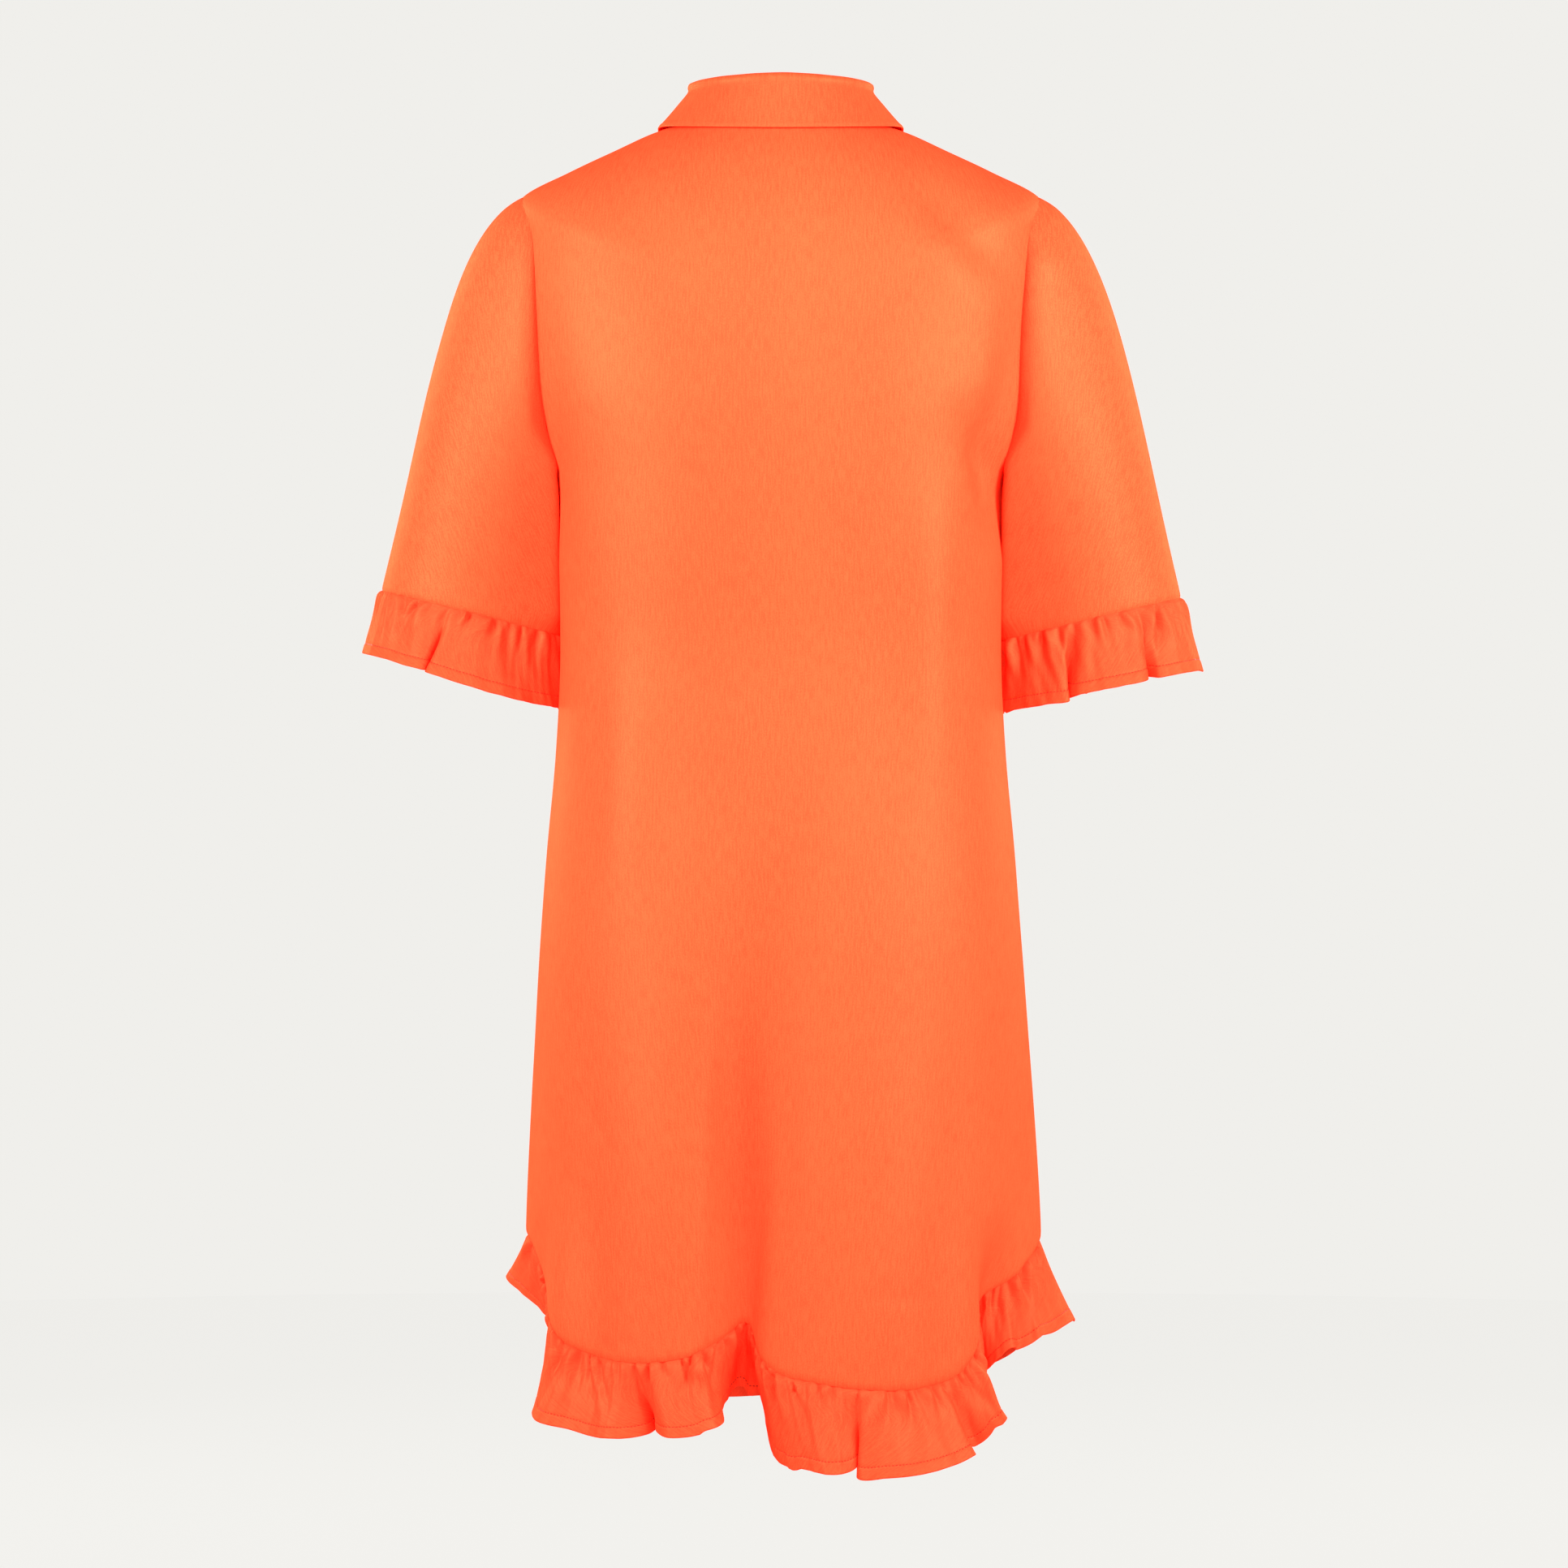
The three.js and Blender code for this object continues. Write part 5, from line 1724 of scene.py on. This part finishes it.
class Finish:
    """What every finish shares: its material is made once and given to pieces."""

    name: str

    def surface(self, tree: NodeTree) -> Socket:
        """Adds the finish's nodes and returns its surface."""
        raise NotImplementedError

    def material(self) -> bpy.types.Material:
        """The material, made the first time that it is asked for."""
        known = bpy.data.materials.get(self.name)
        if known:
            return known
        material = bpy.data.materials.new(self.name)
        material.use_nodes = True
        material.node_tree.nodes.clear()
        tree = NodeTree(material.node_tree)
        tree.add("ShaderNodeOutputMaterial", None, {"Surface": self.surface(tree)})
        return material

    def dress(self, piece: Piece) -> Piece:
        """Gives a piece this finish."""
        piece.data.materials.clear()
        piece.data.materials.append(self.material())
        return piece


@dataclass(frozen=True)
class SatinCrepe(Finish):
    """Satin-backed crepe: fine upright slubs, a crepe grain and a soft sheen."""

    name: str = "satin_crepe"
    light: Colour = (1.0, 0.064, 0.0200)
    deep: Colour = (0.96, 0.044, 0.0138)
    roughness: float = 0.5
    slub_width: float = 1.35
    slub_length: float = 11.0
    grain_size: float = 0.95
    crinkle: float = 0.25
    crinkle_width: float = 2.6
    turn: float = 0.0
    height: float = 0.00012
    glow: float = 0.08
    contrast: float = 1.0
    shine: float = 0.018
    shine_colour: Colour = (1.0, 0.5, 0.2)
    slub_share: float = 2.0  # how much each unevenness counts in the colour
    grain_share: float = 1.7
    tone_share: float = 0.6
    tone_size: tuple[float, float] = (85.0, 150.0)

    def noise(self, tree: NodeTree, place: Any, across: float, along: float,
              detail: float = 2.0) -> Value:
        """Noise that is stretched along the cloth; sizes are in millimetres."""
        scaled = tree.add("ShaderNodeMapping", {"vector_type": "TEXTURE"}, {
            "Vector": place,
            "Rotation": (0, 0, math.radians(self.turn)),
            "Scale": (across * MM, along * MM, 1),
        })
        noise = tree.add("ShaderNodeTexNoise", {"noise_dimensions": "2D"}, {
            "Vector": scaled.outputs[0], "Scale": 1.0, "Detail": detail, "Roughness": 0.55,
        })
        return Value(tree, noise.outputs[0])

    def surface(self, tree: NodeTree) -> Socket:
        """Slubs, grain and broad tone in the colour, slubs and crinkles in the bump."""
        place = tree.add("ShaderNodeUVMap", {"uv_map": "weave"}).outputs[0]
        slub = self.noise(tree, place, self.slub_width, self.slub_length)
        grain = self.noise(tree, place, self.grain_size, self.grain_size * 1.3, 1.0)
        crinkle = self.noise(tree, place, self.crinkle_width, self.crinkle_width * 6)
        tone = self.noise(tree, place, *self.tone_size)
        weave = self.slub_share * (slub - 0.5) + self.grain_share * (grain - 0.5)
        share = (0.5 + self.contrast * weave + self.tone_share * (tone - 0.5)).kept()
        colour = tree.blend(share, self.deep, self.light)
        bump = tree.bump(1.0, self.height, 0.55 * slub + 0.45 * grain + self.crinkle * crinkle)
        matt = tree.principled(colour, (self.roughness + 0.16 * (grain - 0.5)).kept(), 0.0, bump)
        shine = tree.add("ShaderNodeBsdfAnisotropic", None, {
            "Color": (*self.shine_colour, 1.0), "Roughness": self.roughness, "Normal": bump,
        }).outputs[0]
        through = tree.add("ShaderNodeBsdfTranslucent", None, {"Color": colour, "Normal": bump}).outputs[0]
        return tree.mixed(self.glow, tree.mixed(self.shine, matt, shine), through)


@dataclass(frozen=True)
class SewingThread(Finish):
    """Polyester sewing thread, coloured far darker than the cloth: painted shade of the dimples and needle
    holes along the stitches.
    """

    name: str = "sewing_thread_painted_shade"
    # painted shade: both colours stand for the shadow in each stitch's dimple, not the thread's own colour
    light: Colour = (0.46, 0.014, 0.006)
    deep: Colour = (0.28, 0.008, 0.004)

    def surface(self, tree: NodeTree) -> Socket:
        """A fine twist in the colour and the bump."""
        place = tree.add("ShaderNodeTexCoord").outputs["Object"]
        twist = tree.add("ShaderNodeTexNoise", None, {"Vector": place, "Scale": 2600.0, "Detail": 1.0})
        share = Value(tree, twist.outputs[0])
        return tree.principled(tree.blend(share, self.deep, self.light), (0.4 + 0.2 * share).kept(),
                               0.04, tree.bump(0.5, 0.0001, share))


@dataclass(frozen=True)
class ButtonFinish(Finish):
    """Dyed polyester resin with a faint cloud in it."""

    name: str = "button_resin"
    light: Colour = (0.92, 0.062, 0.020)
    deep: Colour = (0.80, 0.042, 0.014)

    def surface(self, tree: NodeTree) -> Socket:
        """A cloud in the colour and fine scratches in the bump."""
        place = tree.add("ShaderNodeTexCoord").outputs["Object"]
        cloud = tree.add("ShaderNodeTexNoise", None, {
            "Vector": place, "Scale": 260.0, "Detail": 3.0, "Distortion": 1.2,
        })
        scratches = tree.add("ShaderNodeTexNoise", None, {"Vector": place, "Scale": 3200.0, "Detail": 2.0})
        cloudy = Value(tree, cloud.outputs[0])
        fine = Value(tree, scratches.outputs[0])
        roughness = (0.24 + 0.14 * fine + 0.08 * cloudy).kept()
        return tree.principled(tree.blend(cloudy, self.deep, self.light), roughness, 0.25,
                               tree.bump(0.25, 0.00003, fine))


@dataclass(frozen=True)
class FloorPaper(Finish):
    """The matt paper under the dress, which looks as pale as what is round it."""

    pale: Colour
    name: str = "floor_paper"

    def surface(self, tree: NodeTree) -> Socket:
        """A dark matt paper that glows with the pale colour."""
        return tree.add("ShaderNodeBsdfPrincipled", None, {
            "Base Color": (0.012, 0.012, 0.0115, 1.0),
            "Roughness": 1.0,
            "Specular IOR Level": 0.0,
            "Emission Color": (*self.pale, 1.0),
            "Emission Strength": 0.98,
        }).outputs[0]


# ------------------------------------------------------------------ studio


@dataclass
class Softbox:
    """A square soft light that faces the dress."""

    name: str
    place: tuple[float, float, float]
    size: float
    power: float
    aim: tuple[float, float, float] = (0.0, 0.0, -0.45)


@dataclass
class Studio:
    """The camera, lights, pale surroundings and floor."""

    pale: Colour = (0.871, 0.862, 0.832)
    camera_place: tuple[float, float, float] = (-0.0024, 6.0, -0.4824)
    lens: float = 186.3
    dim: Colour = (0.30, 0.297, 0.288)
    floor_height: float = -1.12
    floor_radius: float = 2.6
    floor_middle: float = -1.6
    lights: tuple[Softbox, ...] = (
        Softbox("key light", (-1.6, 1.1, 0.1), 1.1, 108, aim=(0.0, 0.0, 0.6)),
        Softbox("second light", (1.6, 1.1, 0.1), 1.1, 104, aim=(0.0, 0.0, 0.6)),
        Softbox("fill light", (-0.2, 2.3, 0.6), 1.4, 66, aim=(0.0, 0.0, 0.2)),
        Softbox("front key light", (1.6, -1.7, 0.2), 1.2, 120, aim=(0.0, 0.0, 0.2)),
        Softbox("front second light", (-1.6, -1.7, 0.2), 1.2, 90, aim=(0.0, 0.0, 0.2)),
    )

    def build_camera(self) -> None:
        """Makes the camera, level and square to the back of the dress."""
        data = bpy.data.cameras.new("camera")
        data.lens = self.lens
        data.sensor_width = 36
        data.clip_end = 60
        camera = linked("camera", data)
        camera.location = self.camera_place
        camera.rotation_euler = (math.radians(90), 0, math.radians(180))
        bpy.context.scene.camera = camera

    def build_lights(self) -> None:
        """Makes the soft lights and the pale surroundings."""
        for light in self.lights:
            data = bpy.data.lights.new(light.name, "AREA")
            data.shape = "SQUARE"
            data.size = light.size
            data.energy = light.power
            lamp = linked(light.name, data)
            lamp.location = light.place
            away = Vector(light.aim) - Vector(light.place)
            lamp.rotation_euler = away.to_track_quat("-Z", "Y").to_euler()
        self.build_surroundings()

    def build_surroundings(self) -> None:
        """Makes the pale backdrop, which lights the dress less than it shows."""
        world = bpy.data.worlds.new("studio")
        world.use_nodes = True
        world.node_tree.nodes.clear()
        tree = NodeTree(world.node_tree)
        seen = tree.add("ShaderNodeLightPath").outputs["Is Camera Ray"]
        background = tree.add("ShaderNodeBackground", None,
                              {"Color": tree.blend(seen, self.dim, self.pale), "Strength": 1.0})
        tree.add("ShaderNodeOutputWorld", None, {"Surface": background.outputs[0]})
        bpy.context.scene.world = world

    def build_floor(self) -> None:
        """Makes the round floor, well below the hem."""
        turns = 96
        verts = circle(turns, self.floor_radius, 0.0, self.floor_middle, self.floor_height)
        floor = linked_faces("floor", verts, [tuple(range(turns))])
        FloorPaper(self.pale).dress(floor)

    def build(self) -> None:
        """Makes everything round the dress."""
        self.build_camera()
        self.build_lights()
        self.build_floor()
        bpy.context.scene.view_settings.view_transform = "Standard"
        bpy.context.scene.view_settings.look = "None"


# ------------------------------------------------------------------ placed creases and folds

BACK_CREASES = tuple(Crease(*row) for row in (
    ("centre trough", (30, -540), (32, -880), 23, -6.0),
    ("centre ridge", (78, -600), (80, -880), 26, 2.2),
    ("right armhole trough", (-148, -190), (-160, -320), 12, -8.5),
    ("right underarm fold", (-122, -200), (-166, -285), 10, -4.0),
    ("right back ridge", (-112, -230), (-128, -520), 24, 5.0),
    ("right shoulder drag", (-92, -36), (-176, -118), 15, -5.0),
    ("right shoulder ridge", (-70, -50), (-160, -150), 20, 3.0),
    ("left armhole trough", (168, -150), (160, -330), 12, -2.2),
    ("left hip crease", (150, -700), (118, -760), 5, -0.7),
    ("right hem crease", (-50, -853), (-118, -856), 3.5, -0.6),
    ("upper print", (12, -494), (16, -478), 2.4, -0.5),
    ("middle print", (4, -588), (12, -575), 2.2, -0.5),
    ("lower print", (6, -660), (14, -646), 2.4, -0.5),
))

LEFT_FRONT_CREASES = tuple(Crease(*row) for row in (
    ("bust drape", (120, -210), (70, -330), 20, -3.0, Face.FRONT),
    ("bust ridge", (92, -190), (62, -380), 24, 2.6, Face.FRONT),
    ("waist crease", (60, -370), (128, -420), 15, -2.2, Face.FRONT),
    ("hip crease", (134, -560), (100, -680), 12, -1.6, Face.FRONT),
    ("skirt crease", (40, -600), (52, -780), 11, -1.5, Face.FRONT),
))

RIGHT_FRONT_CREASES = tuple(Crease(*row) for row in (
    ("bust drape", (-125, -215), (-66, -345), 21, -3.2, Face.FRONT),
    ("bust ridge", (-88, -180), (-58, -390), 22, 2.4, Face.FRONT),
    ("waist crease", (-54, -390), (-120, -430), 14, -2.0, Face.FRONT),
    ("hip crease", (-128, -590), (-92, -700), 12, -1.5, Face.FRONT),
    ("skirt crease", (-46, -580), (-40, -760), 12, -1.6, Face.FRONT),
))

LEFT_SLEEVE_CREASES = tuple(Crease(*row) for row in (
    ("armhole fold", (196, -150), (176, -330), 14, -1.2),
    ("sleeve fold", (236, -150), (262, -330), 22, 1.8),
))

RIGHT_SLEEVE_CREASES = tuple(Crease(*row) for row in (
    ("cap ridge", (-178, -96), (-214, -103), 12, 2.4),
    ("armhole fold", (-190, -140), (-172, -330), 12, -0.9),
    ("sleeve fold", (-226, -170), (-256, -340), 20, 1.6),
))

BACK_HANG = tuple(FootPlace(*row) for row in (
    (0, 0, 0, -6), (6, -1, 6, -10), (11, -3, 7, -9), (18, 3, 7, -12), (26, -3, 4, -8), (34, 4, -1, 6),
    (42, -1, 4, -1), (51, -2, 15, -3), (57, -18, 14, -7), (59.5, -30, 8, -10), (62, -16, 5, -10),
    (66, -1, 7, -3), (71, 3, 11, 0), (76, 7, 5, -3), (78.5, -12, 11, -5), (81, -18, 15, 3),
    (84, -18, 5, -4), (87, -16, -19, 6), (89, -11, 9, 7), (92, -6, 9, 5), (97, 3, 6, 5),
    (102, -8, 2, -1), (104, -22, 2, -7), (106, -11, -8, 4), (110, 1, -3, 4), (116, 7, 1, 3),
    (122, 9, 2, 2), (126, 3, 11, 2), (128, -16, 10, 1), (130, -20, 10, 5), (133, -9, 14, 10),
    (136, 4, 12, 9), (139, 3, -3, -4), (143, -1, -4, -5), (147, 5, -6, -12), (150, 10, 10, 1),
    (155, 6, 7, -8), (158, -6, -1, -6), (163, -1, -8, -8), (171, -3, -12, 1), (180, 2, -13, 8),
))

CUFF_FRONT_HANG = tuple(FootPlace(*row) for row in (
    (198, -2, 2), (212, 8, 4, 1), (222, -6, -5, -1), (230, 5, -8), (248, 9, 0, 2), (262, -4, 6),
    (270, 6, -6, 1), (290, 9, -2, -4), (304, -5, 4, -6), (312, 5, -5, -6), (332, 5, 2, -8),
    (346, -2, 0, -8),
))

LEFT_CUFF_HANG = tuple(FootPlace(*row) for row in (
    (0, 3, 0, -4), (25, 6, -3, -3), (45, 7, -2, -3), (62, 10, -1, -2), (72, 7, -3, -2),
    (77, -8, -10, -3), (82, 5, -15, -1), (90, 9, -12), (105, 11, -6, 2), (120, 10, -1, 2),
    (135, 6, 2, 2), (150, 5, 3, 1), (180, 7),
)) + CUFF_FRONT_HANG

RIGHT_CUFF_HANG = tuple(FootPlace(*row) for row in (
    (0, 4, 0, 4), (22, 6, 0, 4), (40, 7, 4, 3), (52, 4, 5, 2), (60, -9, -1, -1), (65, 4, -2, 2),
    (75, 11, 3, 2), (90, 10, 4, 1), (101, 4, 7, 0), (105, -7, 10, -2), (110, 3, -2, 3), (125, 7, -4, 2),
    (140, 4, -2, 1), (155, 4, 2), (180, 6),
)) + CUFF_FRONT_HANG


def even_hang(start: float, end: float, waves: int, out: float, seed: int,
              first: FootPlace, last: FootPlace, raised: tuple[float, float]) -> Hang:
    """A hang of soft uneven waves between two angles.

    Args:
        start: first angle.
        end: last angle.
        waves: how many waves there are.
        out: how far a wave stands out.
        seed: seed of its unevenness.
        first: the place at the first angle, shared with the next ruffle.
        last: the place at the last angle.
        raised: how far the foot is raised towards the first and the last angle.

    Returns:
        The hang.
    """
    rng = np.random.default_rng(seed)
    count = 2 * waves + 1
    angles = np.linspace(start, end, count)
    angles[1:-1] += rng.uniform(-0.28, 0.28, count - 2) * (end - start) / count
    places = []
    for k, angle in enumerate(angles):
        sign = 1 if k % 2 == 0 else -1
        size = out * rng.uniform(0.6, 1.25)
        rise = sum(height * math.exp(-(((angle - place) / (5 + 0.8 * height)) ** 2))
                   for height, place in zip(raised, (start, end)))
        places.append(FootPlace(float(angle), sign * size - 0.4 * rise, rng.uniform(-4, 4) * sign,
                                rng.uniform(-1, 1) - rise))
    places[0] = FootPlace(start, first.out, first.along, first.drop)
    places[-1] = FootPlace(end, last.out, last.along, last.drop)
    return Hang(places)


# ------------------------------------------------------------------ the dress


@dataclass
class ShirtDress:
    """Every piece of the dress, built in order."""

    form: BodyForm = field(default_factory=BodyForm)
    satin: SatinCrepe = SatinCrepe()
    left_satin: SatinCrepe = SatinCrepe(
        "left_sleeve_crepe", turn=58, contrast=2.2, slub_width=1.6, slub_length=9.0)
    right_satin: SatinCrepe = SatinCrepe(
        "right_sleeve_crepe", turn=-58, contrast=2.2, slub_width=1.6, slub_length=9.0)
    # A darker copy of the body's satin: the ruffles' deeper colour is painted shade.
    shaded_ruffle_satin: SatinCrepe = SatinCrepe(
        "ruffle_crepe_painted_shade", light=(1.0, 0.050, 0.0162), deep=(0.95, 0.031, 0.0102), crinkle=1.0)
    # A slightly darker copy of the body's satin: the collar's deeper colour is painted shade.
    shaded_collar_satin: SatinCrepe = SatinCrepe(
        "collar_crepe_painted_shade", light=(1.0, 0.057, 0.0180), deep=(0.96, 0.039, 0.0122))
    thread: SewingThread = SewingThread()

    def keep(self, piece: Piece, *nodes: str, slot: str = "satin") -> Piece:
        """Puts a piece on the body in place of its solids and reports it."""
        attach(piece, "root")
        if nodes:
            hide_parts(*nodes)
        triangles = sum(len(p.vertices) - 2 for p in piece.data.polygons)
        LOG.info("%s: %d triangles", piece.name, triangles)
        return piece

    def build_body(self) -> None:
        """The back, the fronts and the button band."""
        back = BackPanel(self.form, "back_cloth", (0.52, 0.93), 0.445, BACK_CREASES)
        piece = self.keep(back.build(self.satin), "back")
        for side, start, creases, width, area in (
                (Side.LEFT, 0.0, LEFT_FRONT_CREASES, 0.27, 0.225),
                (Side.RIGHT, 1.0, RIGHT_FRONT_CREASES, 0.24, 0.197)):
            front = FrontPanel(self.form, f"front_cloth_{side.word}", (width, 0.91), area, creases,
                               middle=FRONT_MIDDLE + side.value * 12, grain=1 - start, width=280.0,
                               seed=1.1 + start, side=side)
            piece = self.keep(front.build(self.satin), f"front_{side.word}")

    def build_front_edge(self) -> None:
        """The button band, buttons, buttonholes and their thread."""
        band = ButtonBand(self.form)
        neck = Neck(self.form)
        piece = self.keep(band.build(self.satin), "button_band")
        thread = self.thread.material()
        self.keep(Stitching("band_stitches").sew(band.stitch_lines(), thread))
        buttons = Buttons(self.form, neck, band)
        nodes = [f"button_{number + 1}" for number in range(buttons.count)]
        self.keep(buttons.build(ButtonFinish()), *nodes, slot="button")
        bars = Stitching("button_thread", length=0.95, spacing=0.3, width=0.5, height=0.4)
        self.keep(bars.sew(buttons.thread_lines(), thread))
        holes = Stitching("buttonhole_stitches", length=0.34, spacing=0.36, width=1.7, height=0.34)
        self.keep(holes.sew(buttons.buttonhole_lines(), thread))

    def build_sleeves(self) -> None:
        """The sleeves and their cuff ruffles."""
        lines = []
        parts = (
            (Sleeve(self.form, Side.LEFT, LEFT_SLEEVE_CREASES), LEFT_CUFF_HANG, 5),
            (Sleeve(self.form, Side.RIGHT, RIGHT_SLEEVE_CREASES, lean=13.5, cuff_out=228.5, cuff_z=-360.5),
             RIGHT_CUFF_HANG, 9),
        )
        for sleeve, places, seed in parts:
            side = sleeve.side
            satin = self.left_satin if side is Side.LEFT else self.right_satin
            piece = self.keep(sleeve.build(satin), f"sleeve_{side.word}")
            ruffle = CuffRuffle(f"cuff_ruffle_cloth_{side.word}", (0.52, 0.055), 53.0, Gathers(seed),
                                sleeve=sleeve, hang=Hang(places, is_ring=True))
            piece, line = ruffle.build(self.shaded_ruffle_satin)
            self.keep(piece, f"cuff_ruffle_{side.word}")
            lines.append(line)
        self.keep(Stitching("cuff_stitches").sew(lines, self.thread.material()))

    def build_hem(self) -> None:
        """The three parts of the hem ruffle."""
        split = float(self.form.front_angle(-BAND_HALF, HEM_LEVEL))
        over = split + 2.2
        parts = (
            ("hem_ruffle_cloth_back", "hem_ruffle_back", 180.0, 0.0, Hang(BACK_HANG),
             600, (0.79, 0.062), 3, 2.4),
            ("hem_ruffle_cloth_left", "hem_ruffle_front_left", 0.0, split,
             even_hang(split, 0.0, 6, 5.5, 21, FootPlace(split, 0, 1, -16), BACK_HANG[0], (17, 20)),
             300, (0.31, 0.062), 13, 2.6),
            ("hem_ruffle_cloth_right", "hem_ruffle_front_right", over, -180.0,
             even_hang(-180.0, over, 5, 5.5, 23, BACK_HANG[-1], FootPlace(over, 2, -1, -17), (27, 17)),
             260, (0.30, 0.062), 17, 1.3),
        )
        lines = []
        for name, node, start, end, hang, columns, flat, seed, inset in parts:
            ruffle = HemRuffle(name, flat, 60.0, Gathers(seed), form=self.form, start=start, end=end,
                               hang=hang, columns=columns, inset=inset)
            piece, line = ruffle.build(self.shaded_ruffle_satin)
            self.keep(piece, node)
            lines.append(line)
        self.keep(Stitching("hem_stitches").sew(lines, self.thread.material()))

    def build_collar(self) -> None:
        """The collar stand and the fall."""
        neck = Neck(self.form)
        stand = CollarStand(neck)
        piece = self.keep(stand.build(self.shaded_collar_satin), "collar_stand")
        collar = Collar(neck)
        piece = self.keep(collar.build(self.shaded_collar_satin), "collar")
        self.keep(Stitching("collar_stitches").sew(collar.stitch_lines(), self.thread.material()))

    def build(self) -> None:
        """Builds all the pieces."""
        self.build_body()
        self.build_sleeves()
        self.build_hem()
        self.build_collar()
        self.build_front_edge()


def main() -> None:
    """Builds the studio and the dress."""
    logging.basicConfig(level=logging.INFO, format="%(name)s: %(message)s")
    Studio().build()
    ShirtDress().build()


if __name__ == "__main__":
    main()
